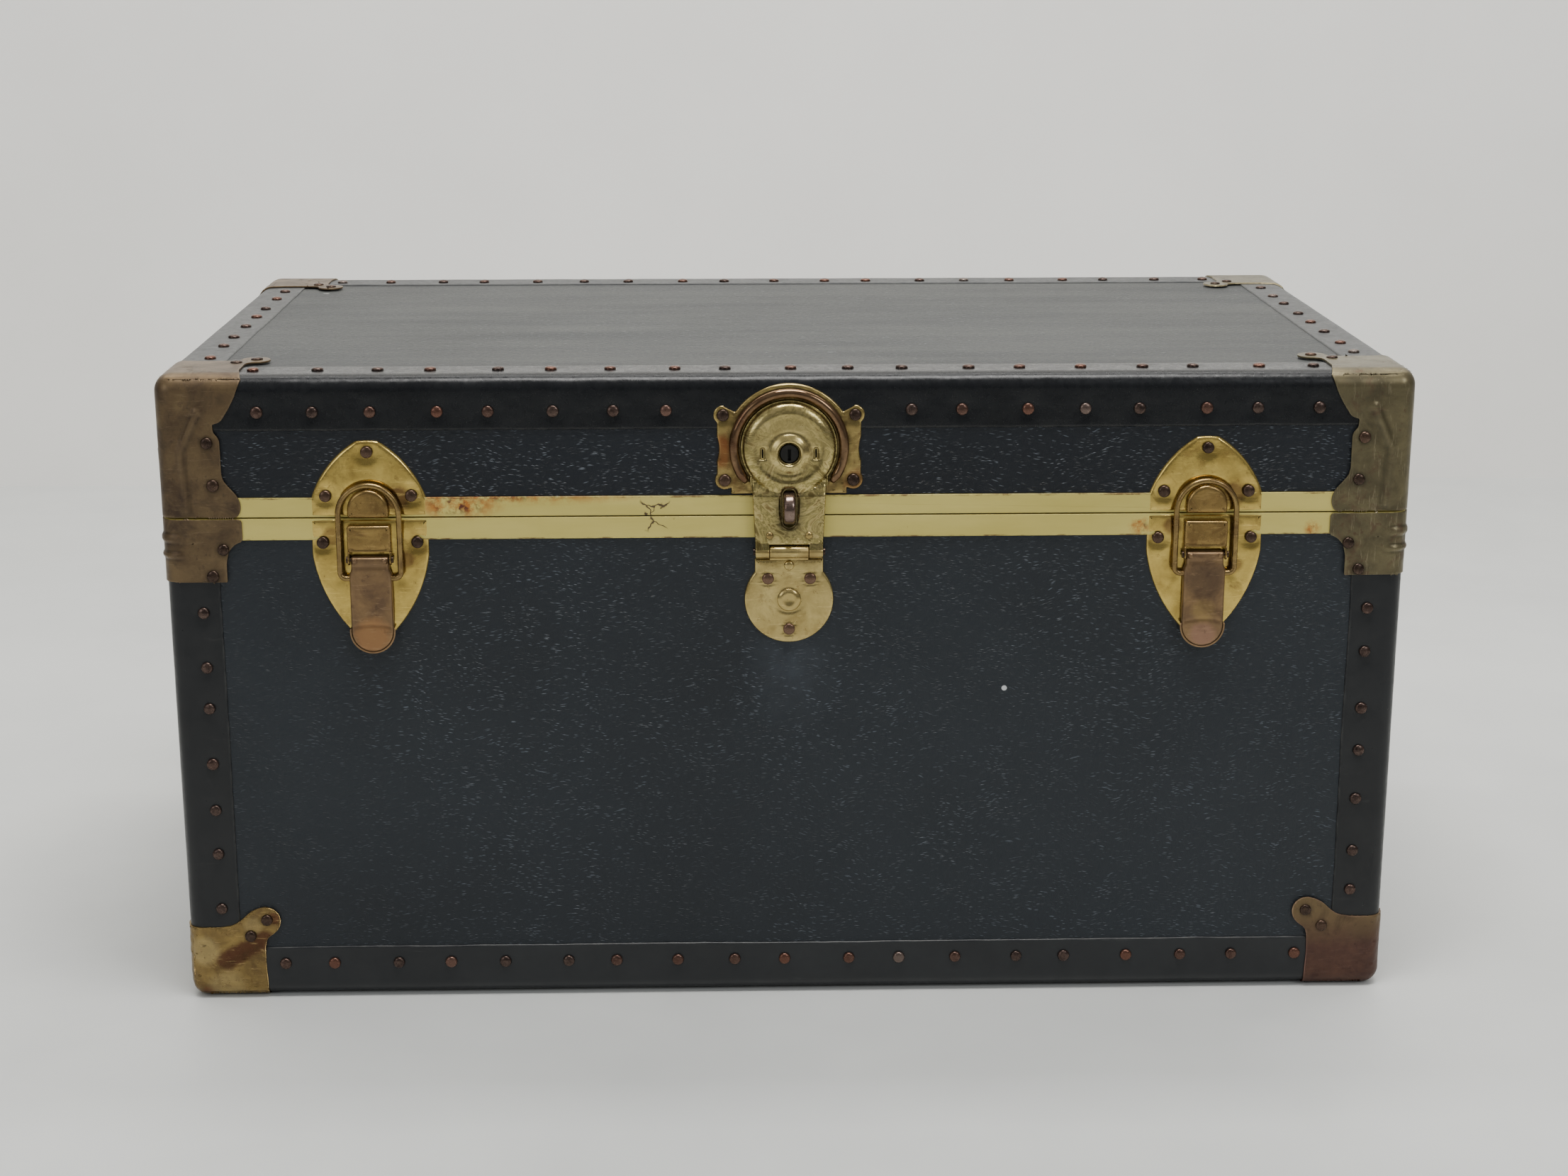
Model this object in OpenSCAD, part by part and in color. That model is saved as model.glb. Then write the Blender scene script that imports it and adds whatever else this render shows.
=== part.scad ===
// Steamer trunk: a plywood chest covered in leatherette, with fibre bindings nailed over its edges,
// pressed metal corners, steel rims at the seam, two draw bolts, a hasp lock, hinges and end handles.
// Frame: +X is the trunk's right, -Y its front and +Z up. The origin is on the floor, under the middle.
// Heights are measured from the floor. On a face, distances outward start at the panel's surface.

/* [Case] */
// Width over the bindings
case_w = 800; // [700:10:1000]
// Depth over the bindings
case_d = 440; // [380:10:560]
// Height from the floor to the bindings on the lid
case_h = 422; // [418:1:440]
// Height of the seam, the lid's lower edge
seam_z = 331; // [326:0.5:332]
// Thickness of the plywood panels, and the radius of their outer edges
panel_t = 9; // [8:0.5:10]
// Thickness of each sheet layer: bindings, rims and pressed plates
skin = 1.2; // [1:0.1:1.3]
// Thickness of the lining
lining_t = 1; // [0.6:0.1:1.5]

/* [Bindings and rims] */
// Width of a binding on each face, measured from the outer edge
bind_w = 35; // [32:1:38]
// Height of the rim strip on the lid
lid_rim_h = 12.5; // [10:0.5:13]
// Height of the rim strip on the body
body_rim_h = 14; // [10:0.5:16]
// Gap between the two rims
seam_gap = 1; // [0.6:0.1:1.5]
// How far the body's tongue stands up inside the lid
tongue_h = 8; // [4:1:8]

/* [Nails] */
// Distance of a nail row from the outer edge
nail_in = 23.2; // [20:0.2:26]
// Nails in a row along the front
nails_wide = 19; // [15:1:23]
// Nails in a row along an end
nails_deep = 8; // [6:1:9]
// Nails up each corner
nails_high = 7; // [5:1:8]
// How far a nail may stray along its row
nail_stray = 3; // [0:0.5:4]

/* [Latches] */
// Distance of each latch from the middle
latch_x = 268; // [180:1:290]

/* [Lock] */
// Radius of the hasp's round head
head_r = 29.9; // [28:0.1:30.2]
// Radius of the keyhole
keyhole_r = 5.8; // [5:0.1:6]

/* [Hinges and handles] */
// Distance of each hinge from the middle
hinge_x = 230; // [150:5:260]
// Half the distance between a handle's two mounts
handle_half = 63; // [55:1:75]
// Height of a handle's pivots above the floor
handle_z = 222; // [180:1:250]

/* [Hidden] */
$fn = 48;

// Colours
cover_blue = "#1b212b";
fibre_black = "#1c1e20";
rim_cream = "#b9a873";
old_brass = "#b08d3c";
dull_brass = "#6b5638";
nail_steel = "#6e5a52";
lining_buff = "#b7a789";
leather_tan = "#5b3a22";

// Panel surfaces
half_w = case_w / 2 - skin;
half_d = case_d / 2 - skin;
floor_z = 2 * skin;
top_z = case_h - skin;
bend_r = panel_t + skin;
plate_out = 2 * skin;
inner_w = half_w - panel_t;
inner_d = half_d - panel_t;

// Heights around the seam
body_top = seam_z - seam_gap;
flange_t = 0.8;
body_rim_z = body_top - body_rim_h;
lid_rim_z = seam_z + lid_rim_h;
bind_low_z = skin + bind_w;
bind_high_z = case_h - bind_w;

// Clearances
fit = 0.05;
nail_r = 1.2;
nail_deep = 6;
rivet_r = 1.6;
rivet_deep = 7;
rivet_head_r = 4;
big = 1200;

// Corner plates, measured from the outer edges
ear_leg = 51;
ear_lobe = 55.3;
ear_lobe_r = 10;
ear_fillet_r = 14;
ear_rivets = [44.7, 56];
foot_ear_shift = 3.3;
rim_corner_z = body_top - 41.5;

// Latches: heights of the lever's pin, the bail's pivot and the bail's arch
pin_z = seam_z - 27;
pin_out = 6.2;
pin_r = 1.2;
bail_z = pin_z - 12.5;
bail_out = 5.6;
bail_r = 1.9;
bail_half = 19.3;
arch_z = seam_z + 2;
lever_half = 12.2;
lever_face_out = 9;
lever_tip_z = seam_z - 88;
boss_half = 13.3;
boss_out = 8;

// Lock: head, keyhole, hinge of the hasp and the padlock staple
head_z = seam_z + 43.8;
key_z = seam_z + 41;
hasp_in = 3;
hasp_out = 9.2;
neck_out = 8.2;
hasp_axis_z = seam_z - 23.8;
hasp_axis_out = 4.9;
knuckle_r = 4.4;
knuckle_half = 12.5;
base_z = seam_z - 56.5;
base_r = 28.9;
staple_z = seam_z + 5.5;
staple_out = 8;
staple_r = 8.5;
prong_x = 17;

// Hinges and handles
hinge_out = 5.2;
hinge_r = 3.2;
hinge_pin_r = 1.6;
leaf_half = 24;
leaf_drop = 31;
leaf_tip_r = 12;
middle_half = 8;
knuckle_gap = 0.3;
handle_out = 9.5;
handle_pin_r = 2.5;
handle_drop = 40;
grip_r = 8;
mount_r = 8;
mount_rivet = 17;
loop_half = 4.6;

// The lock stands out further than the hinges, so the case moves back to keep the model centred
front_proud = staple_out + staple_r + 2;
rear_proud = hinge_out + hinge_r;
shift_y = (front_proud - rear_proud) / 2;

// ---- Placing ----

module placed(paint) translate([0, shift_y, 0]) color(paint) children();

// Lays children on a face of the case: drawn in X and Y as seen from outside, Z pointing outward.
// On the four walls Y is the height above the floor.
module on_face(face) {
    if (face == "front") translate([0, -half_d, 0]) rotate([90, 0, 0]) children();
    if (face == "rear") translate([0, half_d, 0]) rotate([90, 0, 180]) children();
    if (face == "left") translate([-half_w, 0, 0]) rotate([90, 0, -90]) children();
    if (face == "right") translate([half_w, 0, 0]) rotate([90, 0, 90]) children();
    if (face == "top") translate([0, 0, top_z]) children();
    if (face == "bottom") translate([0, 0, floor_z]) rotate([180, 0, 0]) children();
}

// Extrudes a profile drawn in Y and Z along X
module along_x(length) translate([-length / 2, 0, 0]) rotate([90, 0, 90]) linear_extrude(length) children();

// Extrudes a profile drawn in X and Z along Y
module along_y(length) translate([0, length / 2, 0]) rotate([90, 0, 0]) linear_extrude(length) children();

module at_corner(right, rear) mirror([right, 0, 0]) mirror([0, rear, 0]) children();

module both_sides() {
    children();
    mirror([1, 0, 0]) children();
}

module slab(low, high) translate([0, 0, low]) linear_extrude(high - low) children();

// ---- Nails and rivets: [face, across, up] ----

function stray(i) = nail_stray * sin(i * 137);
function row(count, span) = [for (i = [0:count - 1]) -span / 2 + span * i / (count - 1)];

wide_row = row(nails_wide, case_w - 123);
deep_row = row(nails_deep, case_d - 142);
high_row = [for (h = row(nails_high, body_rim_z - 116)) h + (body_rim_z + 18) / 2];
nail_low_z = skin + nail_in;
nail_high_z = case_h - nail_in;
edge_x = case_w / 2 - nail_in;
edge_y = case_d / 2 - nail_in;

function across(face, list, up, seed) = [for (i = [0:len(list) - 1]) [face, list[i] + stray(i + seed), up]];
function clear_of(list, half) = [for (s = list) if (abs(s[1]) > half) s];
function up_edge(face, x, seed) = [for (i = [0:len(high_row) - 1]) [face, x, high_row[i] + stray(i + seed)]];
function along_edge(face, x, seed) = [
    for (i = [0:len(deep_row) - 1]) [face, x, deep_row[i] + stray(i + seed)]
];

body_nail_spots = concat(
    across("front", wide_row, nail_low_z, 1),
    across("rear", wide_row, nail_low_z, 5),
    across("left", deep_row, nail_low_z, 9),
    across("right", deep_row, nail_low_z, 13),
    up_edge("front", -edge_x, 2), up_edge("front", edge_x, 6),
    up_edge("rear", -edge_x, 3), up_edge("rear", edge_x, 7),
    up_edge("left", -edge_y, 4), up_edge("left", edge_y, 8),
    up_edge("right", -edge_y, 10), up_edge("right", edge_y, 11)
);
underside_nail_spots = concat(
    across("bottom", wide_row, edge_y, 1),
    across("bottom", wide_row, -edge_y, 4),
    along_edge("bottom", -edge_x, 2),
    along_edge("bottom", edge_x, 3)
);
lid_nail_spots = concat(
    clear_of(across("front", wide_row, nail_high_z, 3), 60),
    across("rear", wide_row, nail_high_z, 8),
    across("left", deep_row, nail_high_z, 6),
    across("right", deep_row, nail_high_z, 2),
    across("top", wide_row, -edge_y, 7),
    across("top", wide_row, edge_y, 12),
    along_edge("top", -edge_x, 5),
    along_edge("top", edge_x, 14)
);

// Rivets of the corner plates on a wall: distances in from the outer edge, and heights
rim_corner_rivets = [[38.5, body_top - 20], [31, body_top - 37.5]];
lid_corner_rivets = [[31.7, seam_z + 48.5], [34, seam_z + 21]];
foot_corner_rivets = [for (e = ear_rivets) [e - foot_ear_shift, e]];

function wall_half(face) = (face == "front" || face == "rear" ? case_w : case_d) / 2;
function on_walls(list) = [
    for (face = ["front", "rear", "left", "right"], side = [-1, 1], p = list)
        [face, side * (wall_half(face) - p[0]), p[1]]
];
top_ear_rivets = [
    for (sx = [-1, 1], sy = [-1, 1], e = ear_rivets) ["top", sx * (case_w / 2 - e), sy * (case_d / 2 - e)]
];

latch_base_rivets = [for (x = [-latch_x, latch_x], dx = [-30.1, 30.1]) ["front", x + dx, seam_z - 16.7]];
latch_keeper_rivets = [
    for (x = [-latch_x, latch_x], p = [[-27.2, 13.8], [27.2, 13.8], [0, 42.2]])
        ["front", x + p[0], seam_z + p[1]]
];
lock_base_rivets = [for (p = [[-13.6, 14.2], [13.6, 14.2], [0, -19.6]]) ["front", p[0], base_z + p[1]]];
lock_keeper_rivets = [for (s = [-1, 1], p = [[42, 64.8], [41, 22.6]]) ["front", s * p[0], seam_z + p[1]]];
hinge_lower_rivets = [
    for (x = [-hinge_x, hinge_x], p = [[-16, -11], [16, -11], [0, -24]]) ["rear", x + p[0], body_top + p[1]]
];
hinge_upper_rivets = [
    for (x = [-hinge_x, hinge_x], p = [[-16, 11], [16, 11], [0, 24]]) ["rear", x + p[0], seam_z + p[1]]
];
mount_rivets = [
    for (face = ["left", "right"], x = [-handle_half, handle_half], dz = [-mount_rivet, mount_rivet])
        [face, x, handle_z + dz]
];

foot_rivet_spots = on_walls(foot_corner_rivets);
body_rivet_spots = concat(on_walls(rim_corner_rivets), foot_rivet_spots, latch_base_rivets,
    lock_base_rivets, hinge_lower_rivets, mount_rivets);
lid_rivet_spots = concat(on_walls(lid_corner_rivets), top_ear_rivets, latch_keeper_rivets,
    lock_keeper_rivets, hinge_upper_rivets);

function of_face(list, face) = [for (s = list) if (s[0] == face) s];

module at_spots(list) for (s = list) on_face(s[0]) translate([s[1], s[2], 0]) children();

module dome(base_r, height) {
    ball_r = (base_r * base_r + height * height) / (2 * height);
    intersection() {
        translate([0, height - ball_r]) circle(ball_r);
        square([base_r, height]);
    }
}

module nail() rotate_extrude() {
    translate([0, skin]) dome(4, 2);
    translate([0, -nail_deep]) square([nail_r, nail_deep + skin]);
}

module flat_nail() rotate_extrude() {
    translate([0, skin]) square([4, 1]);
    translate([0, -nail_deep]) square([nail_r, nail_deep + skin]);
}

module rivet() rotate_extrude() {
    translate([0, plate_out]) dome(rivet_head_r, 1.8);
    translate([0, -rivet_deep]) square([rivet_r, rivet_deep + plate_out]);
}

module nail_hole() translate([0, 0, -nail_deep - 0.3]) cylinder(h = nail_deep + 4, r = nail_r + fit);

module rivet_hole() translate([0, 0, -rivet_deep - 0.3]) cylinder(h = rivet_deep + 5, r = rivet_r + fit);

// Children with the holes of one face's nails and rivets
module drilled(face, nails, rivets) difference() {
    children();
    at_spots(of_face(nails, face)) nail_hole();
    at_spots(of_face(rivets, face)) rivet_hole();
}

// ---- Plan shapes of the case ----

// The case's outline in plan, at a distance outside the panels
module plan(out) {
    r = panel_t + out;
    square([2 * inner_w, 2 * (inner_d + r)], center = true);
    square([2 * (inner_w + r), 2 * inner_d], center = true);
    for (x = [-inner_w, inner_w], y = [-inner_d, inner_d]) translate([x, y]) circle(r);
}

module core_plan(in) square([2 * (half_w - in), 2 * (half_d - in)], center = true);

// ---- Panels ----

module wide_wall(low, high) translate([-inner_w, -half_d, low]) cube([2 * inner_w, panel_t, high - low]);

// An end wall runs the whole depth and has rounded outer corners
module end_wall(low, high) slab(low, high) intersection() {
    plan(0);
    translate([-half_w, -half_d]) square([panel_t, 2 * half_d]);
}

// A quarter round along one edge of a slab, with its centre on the X or Y axis
module edge_round() intersection() {
    circle(panel_t);
    translate([-panel_t, -panel_t]) square(panel_t);
}

// The bottom board, with rounded lower edges and its four corners relieved for the corner plates
module board() {
    translate([-inner_w, -inner_d, floor_z]) cube([2 * inner_w, 2 * inner_d, panel_t]);
    for (rear = [0, 1]) mirror([0, rear, 0])
        along_x(2 * inner_w) translate([-inner_d, floor_z + panel_t]) edge_round();
    both_sides() along_y(2 * inner_d) translate([-inner_w, floor_z + panel_t]) edge_round();
}

module body_front_panel() placed(cover_blue) drilled("front", body_nail_spots, body_rivet_spots)
    wide_wall(floor_z + panel_t, body_top - flange_t);

module body_rear_panel() placed(cover_blue) drilled("rear", body_nail_spots, body_rivet_spots)
    mirror([0, 1, 0]) wide_wall(floor_z + panel_t, body_top - flange_t);

module body_left_panel() placed(cover_blue) drilled("left", body_nail_spots, body_rivet_spots)
    end_wall(floor_z + panel_t, body_top - flange_t);

module body_right_panel() placed(cover_blue) drilled("right", body_nail_spots, body_rivet_spots)
    mirror([1, 0, 0]) end_wall(floor_z + panel_t, body_top - flange_t);

module body_bottom_panel() placed(cover_blue) drilled("bottom", underside_nail_spots, []) board();

module lid_top_panel() placed(cover_blue) drilled("top", lid_nail_spots, lid_rivet_spots)
    translate([0, 0, floor_z + top_z]) mirror([0, 0, 1]) board();

module lid_front_panel() placed(cover_blue) drilled("front", lid_nail_spots, lid_rivet_spots)
    wide_wall(seam_z + flange_t, top_z - panel_t);

module lid_rear_panel() placed(cover_blue) drilled("rear", lid_nail_spots, lid_rivet_spots)
    mirror([0, 1, 0]) wide_wall(seam_z + flange_t, top_z - panel_t);

module lid_left_panel() placed(cover_blue) drilled("left", lid_nail_spots, lid_rivet_spots)
    end_wall(seam_z + flange_t, top_z - panel_t);

module lid_right_panel() placed(cover_blue) drilled("right", lid_nail_spots, lid_rivet_spots)
    mirror([1, 0, 0]) end_wall(seam_z + flange_t, top_z - panel_t);

// ---- Linings: open boxes glued inside ----

module body_lining() placed(lining_buff) difference() {
    slab(floor_z + panel_t, body_rim_z) core_plan(panel_t);
    slab(floor_z + panel_t + lining_t, body_top) core_plan(panel_t + lining_t);
}

module lid_lining() placed(lining_buff) difference() {
    slab(body_top + tongue_h + 3, top_z - panel_t) core_plan(panel_t);
    slab(body_top, top_z - panel_t - lining_t) core_plan(panel_t + lining_t);
}

// ---- Rims: the body's rim carries a tongue that the lid's rim drops over ----

module body_rim() placed(rim_cream) drilled("rear", [], body_rivet_spots) {
    slab(body_rim_z, body_top - flange_t) difference() {
        plan(skin);
        plan(0);
    }
    slab(body_top - flange_t, body_top) difference() {
        plan(skin);
        core_plan(panel_t + 1.4);
    }
    slab(body_rim_z + 2, body_top + tongue_h) difference() {
        core_plan(panel_t + 0.6);
        core_plan(panel_t + 1.4);
    }
}

module lid_rim() placed(rim_cream)
    drilled("front", [], lid_rivet_spots) drilled("rear", [], lid_rivet_spots) lid_rim_angle();

module lid_rim_angle() {
    slab(seam_z + flange_t, lid_rim_z) difference() {
        plan(skin);
        plan(0);
    }
    slab(seam_z, seam_z + flange_t) difference() {
        plan(skin);
        core_plan(panel_t);
    }
}

// ---- Bindings: bent fibre strips ----

// The bent strip's section, centred on its bend, with its outside toward -X and -Y
module bent_strip() {
    leg = bind_w - bend_r;
    intersection() {
        difference() {
            circle(bend_r);
            circle(panel_t);
        }
        translate([-bend_r, -bend_r]) square(bend_r);
    }
    translate([-bend_r, 0]) square([skin, leg]);
    translate([0, -bend_r]) square([leg, skin]);
}

module low_wide_strip() along_x(2 * inner_w) translate([-inner_d, floor_z + panel_t]) bent_strip();

module low_deep_strip() along_y(case_d - 2 * bind_w - 2)
    translate([-inner_w, floor_z + panel_t]) bent_strip();

// Moves a part of the body's underside to the top of the lid
module on_lid() translate([0, 0, floor_z + top_z]) mirror([0, 0, 1]) children();

module body_front_binding() placed(fibre_black)
    drilled("front", body_nail_spots, foot_rivet_spots) drilled("bottom", underside_nail_spots, [])
        low_wide_strip();

module body_rear_binding() placed(fibre_black)
    drilled("rear", body_nail_spots, foot_rivet_spots) drilled("bottom", underside_nail_spots, [])
        mirror([0, 1, 0]) low_wide_strip();

module body_side_bindings() placed(fibre_black) drilled("left", body_nail_spots, foot_rivet_spots)
    drilled("right", body_nail_spots, foot_rivet_spots) drilled("bottom", underside_nail_spots, [])
        both_sides() low_deep_strip();

module body_upright_bindings() placed(fibre_black)
    drilled("front", body_nail_spots, body_rivet_spots) drilled("rear", body_nail_spots, body_rivet_spots)
        drilled("left", body_nail_spots, body_rivet_spots) drilled("right", body_nail_spots, body_rivet_spots)
            for (right = [0, 1], rear = [0, 1]) at_corner(right, rear)
                slab(bind_low_z + 0.3, body_rim_z) translate([-inner_w, -inner_d]) bent_strip();

module lid_front_binding() placed(fibre_black)
    drilled("front", lid_nail_spots, lid_rivet_spots) drilled("top", lid_nail_spots, lid_rivet_spots)
        on_lid() low_wide_strip();

module lid_rear_binding() placed(fibre_black)
    drilled("rear", lid_nail_spots, lid_rivet_spots) drilled("top", lid_nail_spots, lid_rivet_spots)
        mirror([0, 1, 0]) on_lid() low_wide_strip();

module lid_side_bindings() placed(fibre_black) drilled("left", lid_nail_spots, lid_rivet_spots)
    drilled("right", lid_nail_spots, lid_rivet_spots) drilled("top", lid_nail_spots, lid_rivet_spots)
        on_lid() both_sides() low_deep_strip();

// ---- Corner plates ----

// A square leg with a rounded ear at its free corner, drawn from the outer corner at the origin;
// shift brings the ear that much nearer to the upright edge
module ear_outline(shift = 0) {
    square(ear_leg);
    translate([ear_lobe - shift, ear_lobe]) circle(ear_lobe_r);
    ear_fillet(ear_lobe - shift, ear_lobe);
    mirror([1, -1]) ear_fillet(ear_lobe, ear_lobe - shift);
}

// Fills the hollow between the leg's upper edge and a lobe at (x, y)
module ear_fillet(x, y) {
    reach = sqrt(pow(ear_fillet_r + ear_lobe_r, 2) - pow(ear_fillet_r - y + ear_leg, 2));
    difference() {
        polygon([[x - reach, ear_leg], [x - reach, ear_leg + ear_fillet_r], [x, y], [x, ear_leg]]);
        translate([x - reach, ear_leg + ear_fillet_r]) circle(ear_fillet_r);
    }
}

// A plain leg with its free corner rounded off
module plain_outline() {
    r = 12;
    square([ear_leg, ear_leg - r]);
    square([ear_leg - r, ear_leg]);
    translate([ear_leg - r, ear_leg - r]) circle(r);
}

// The lid corner's wall outline: X in from the outer edge, Y the height
module lid_corner_outline() {
    low = seam_z + 0.3;
    waist = 39.7;
    intersection() {
        translate([15.5, seam_z + 94]) circle(40);
        translate([0, seam_z + 60.5]) square([60, 60]);
    }
    polygon([
        [0, low], [waist, low], [waist, seam_z + 51.5], [36, seam_z + 55.5], [36, seam_z + 61],
        [0, seam_z + 61]
    ]);
    intersection() {
        union() {
            polygon([[waist, seam_z + 24], [48.9, seam_z + 13.6], [waist, seam_z]]);
            translate([42.7, seam_z + 8.6]) circle(8);
            translate([waist - 1, seam_z]) square([9, 6]);
        }
        translate([0, low]) square([60, 60]);
    }
}

// The rim corner's wall outline, with a hollow below its wide top
module rim_corner_outline() {
    waist = 40;
    hollow_r = 12;
    hollow_z = rim_corner_z + 15;
    difference() {
        translate([0, rim_corner_z]) square([ear_leg, body_top - 0.3 - rim_corner_z]);
        translate([waist + hollow_r, hollow_z]) circle(hollow_r);
        translate([waist, 0]) square([40, hollow_z]);
    }
}

// One wall of the front left corner: the part of an outline past the bend, outward from a level
module wall_piece(face, from, to) {
    side = face == "front" ? -1 : 1;
    edge = wall_half(face);
    on_face(face) slab(from, to) mirror([side > 0 ? 1 : 0, 0]) translate([-edge, 0]) children();
}

// Only what lies past the bend of the wall's vertical edge
module past_bend() intersection() {
    children();
    translate([bend_r, 0]) square(big);
}

module bent_edge(from, to) difference() {
    intersection() {
        circle(panel_t + to);
        translate([-50, -50]) square(50);
    }
    circle(panel_t + from);
}

// The flat legs of a pressed corner on its two walls, and the bend that joins them, at the front left.
// The outer layer spans the whole outline and the inner one only the part with nothing beneath it.
module corner_walls(low, high, bare_low, bare_high) {
    for (face = ["front", "left"]) {
        wall_piece(face, skin, plate_out) past_bend() children(0);
        wall_piece(face, 0, skin) past_bend() children(1);
    }
    translate([-inner_w, -inner_d, low]) linear_extrude(high - low) bent_edge(skin, plate_out);
    if (bare_high > bare_low)
        translate([-inner_w, -inner_d, bare_low]) linear_extrude(bare_high - bare_low) bent_edge(0, skin);
}

// The flat leg on the underside and the two bends and the ball that join it to the walls
module corner_floor(reach) {
    translate([-case_w / 2, -case_d / 2, 0]) slab(0, skin) intersection() {
        children();
        translate([bend_r, bend_r]) square(big);
    }
    translate([-inner_w, -inner_d, floor_z + panel_t]) {
        rotate([90, 0, 90]) linear_extrude(reach - bend_r) bent_edge(skin, plate_out);
        rotate([90, 0, 0]) translate([0, 0, bend_r - reach]) linear_extrude(reach - bend_r)
            bent_edge(skin, plate_out);
        intersection() {
            difference() {
                sphere(panel_t + plate_out);
                sphere(bend_r);
            }
            translate([-50, -50, -50]) cube(50);
        }
    }
}

module foot_corner() {
    difference() {
        union() {
            corner_walls(floor_z + panel_t, ear_leg, 0, 0) {
                above_bend() ear_outline(foot_ear_shift);
                difference() {
                    ear_outline(foot_ear_shift);
                    square([bind_w, big]);
                    square([big, bind_low_z]);
                }
            }
            corner_floor(ear_leg) plain_outline();
        }
        at_spots(foot_rivet_spots) rivet_hole();
    }
}

module above_bend() intersection() {
    children();
    translate([0, floor_z + panel_t]) square(big);
}

module lid_corner() difference() {
    union() {
        corner_walls(seam_z + 0.3, top_z - panel_t, lid_rim_z, bind_high_z) {
            below_bend() lid_corner_outline();
            intersection() {
                lid_corner_outline();
                translate([0, lid_rim_z]) square([big, bind_high_z - lid_rim_z]);
            }
        }
        on_lid() corner_floor(53.3) ear_outline();
        on_lid() translate([-case_w / 2, -case_d / 2, skin]) slab(0, skin) difference() {
            ear_outline();
            square([bind_w, big]);
            square([big, bind_w]);
        }
    }
    at_spots(lid_rivet_spots) rivet_hole();
}

module below_bend() intersection() {
    children();
    square([big, top_z - panel_t]);
}

module rim_corner() difference() {
    union() {
        corner_walls(rim_corner_z, body_top - 0.3, 0, 0) {
            rim_corner_outline();
            difference() {
                rim_corner_outline();
                square([bind_w, big]);
                translate([0, body_rim_z]) square(big);
            }
        }
        rim_corner_ribs();
    }
    at_spots(on_walls(rim_corner_rivets)) rivet_hole();
}

// Two stiffening ribs pressed around the rim corner's bend
module rim_corner_ribs() for (rib = [[body_top - 16, 6.5], [body_top - 26, 4.5]])
    translate([-inner_w, -inner_d, rib[0]]) linear_extrude(rib[1]) {
        bent_edge(plate_out, plate_out + 0.9);
        translate([0, -panel_t - plate_out - 0.9]) square([2.5, 0.9]);
        translate([-panel_t - plate_out - 0.9, 0]) square([0.9, 2.5]);
    }

module foot_corner_front_left() placed(old_brass) foot_corner();
module foot_corner_front_right() placed("#6a4433") at_corner(1, 0) foot_corner();
module foot_corner_rear_left() placed(dull_brass) at_corner(0, 1) foot_corner();
module foot_corner_rear_right() placed(dull_brass) at_corner(1, 1) foot_corner();
module rim_corner_front_left() placed(dull_brass) rim_corner();
module rim_corner_front_right() placed(dull_brass) at_corner(1, 0) rim_corner();
module rim_corner_rear_left() placed(dull_brass) at_corner(0, 1) rim_corner();
module rim_corner_rear_right() placed(dull_brass) at_corner(1, 1) rim_corner();
module lid_corner_front_left() placed(dull_brass) lid_corner();
module lid_corner_front_right() placed(dull_brass) at_corner(1, 0) lid_corner();
module lid_corner_rear_left() placed(dull_brass) at_corner(0, 1) lid_corner();
module lid_corner_rear_right() placed(dull_brass) at_corner(1, 1) lid_corner();

// ---- Nails and rivets ----

module body_nails() placed(nail_steel) {
    at_spots(body_nail_spots) nail();
    at_spots(underside_nail_spots) flat_nail();
}

module lid_nails() placed(nail_steel) at_spots(lid_nail_spots) nail();

module body_rivets() placed(nail_steel) at_spots(body_rivet_spots) rivet();

module lid_rivets() placed(nail_steel) at_spots(lid_rivet_spots) rivet();

// ---- Draw bolts: a base on the body, a keeper on the lid, a lever and a wire bail ----

// A pressed plate: its whole outline outside, and beneath it what is clear of the rim strip
module pressed_plate(rim_low, rim_high) {
    slab(skin, plate_out) children();
    slab(0, skin) difference() {
        children();
        translate([-big / 2, rim_low]) square([big, rim_high - rim_low]);
    }
}

// Two large arcs that meet in a point, and a third that blunts it
module pointed_arch(arc_r, arc_off, arc_z, blunt_r, blunt_z) intersection() {
    translate([-arc_off, arc_z]) circle(arc_r);
    translate([arc_off, arc_z]) circle(arc_r);
    translate([0, blunt_z]) circle(blunt_r);
}

module keeper_shape() intersection() {
    pointed_arch(69, 28.6, seam_z - 10, 50.6, seam_z - 1);
    translate([-37, seam_z + 0.3]) square([74, 60]);
}

module boss_shape() intersection() {
    round_z = arch_z + bail_half - bail_r - 0.5 - boss_half;
    union() {
        translate([0, round_z]) circle(boss_half);
        translate([-boss_half, seam_z]) square([2 * boss_half, round_z - seam_z]);
    }
    translate([-boss_half, seam_z + 0.3]) square(2 * boss_half);
}

module latch_keeper(x) drilled("front", [], lid_rivet_spots) on_face("front") translate([x, 0, 0]) {
    pressed_plate(0, lid_rim_z) keeper_shape();
    slab(plate_out, boss_out) boss_shape();
}

module base_shape() intersection() {
    pointed_arch(94, 55.8, seam_z - 13, 56, seam_z - 29);
    translate([-37.4, seam_z - 90]) square([74.8, 90 - seam_gap - 0.3]);
}

// The ear that holds one end of the lever's pin: drawn in Y, the height, and Z, outward
module base_ear() {
    translate([pin_z, pin_out]) circle(3.6);
    translate([pin_z - 3.6, plate_out]) square([8.7, pin_out - plate_out]);
    translate([pin_z, pin_out]) square([5.1, 2.4]);
}

module latch_base(x) drilled("front", [], body_rivet_spots) on_face("front") translate([x, 0, 0]) {
    pressed_plate(body_rim_z, body_top) base_shape();
    slab(plate_out, pin_out + 2.4) translate([-13.9, pin_z + 5.1]) square([27.8, body_top - pin_z - 8.6]);
    both_sides() difference() {
        translate([12.6, 0, 0]) rotate([90, 0, 90]) linear_extrude(1.3) base_ear();
        translate([0, pin_z, pin_out]) rotate([0, 90, 0]) cylinder(h = 20, r = pin_r + fit);
    }
}

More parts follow.
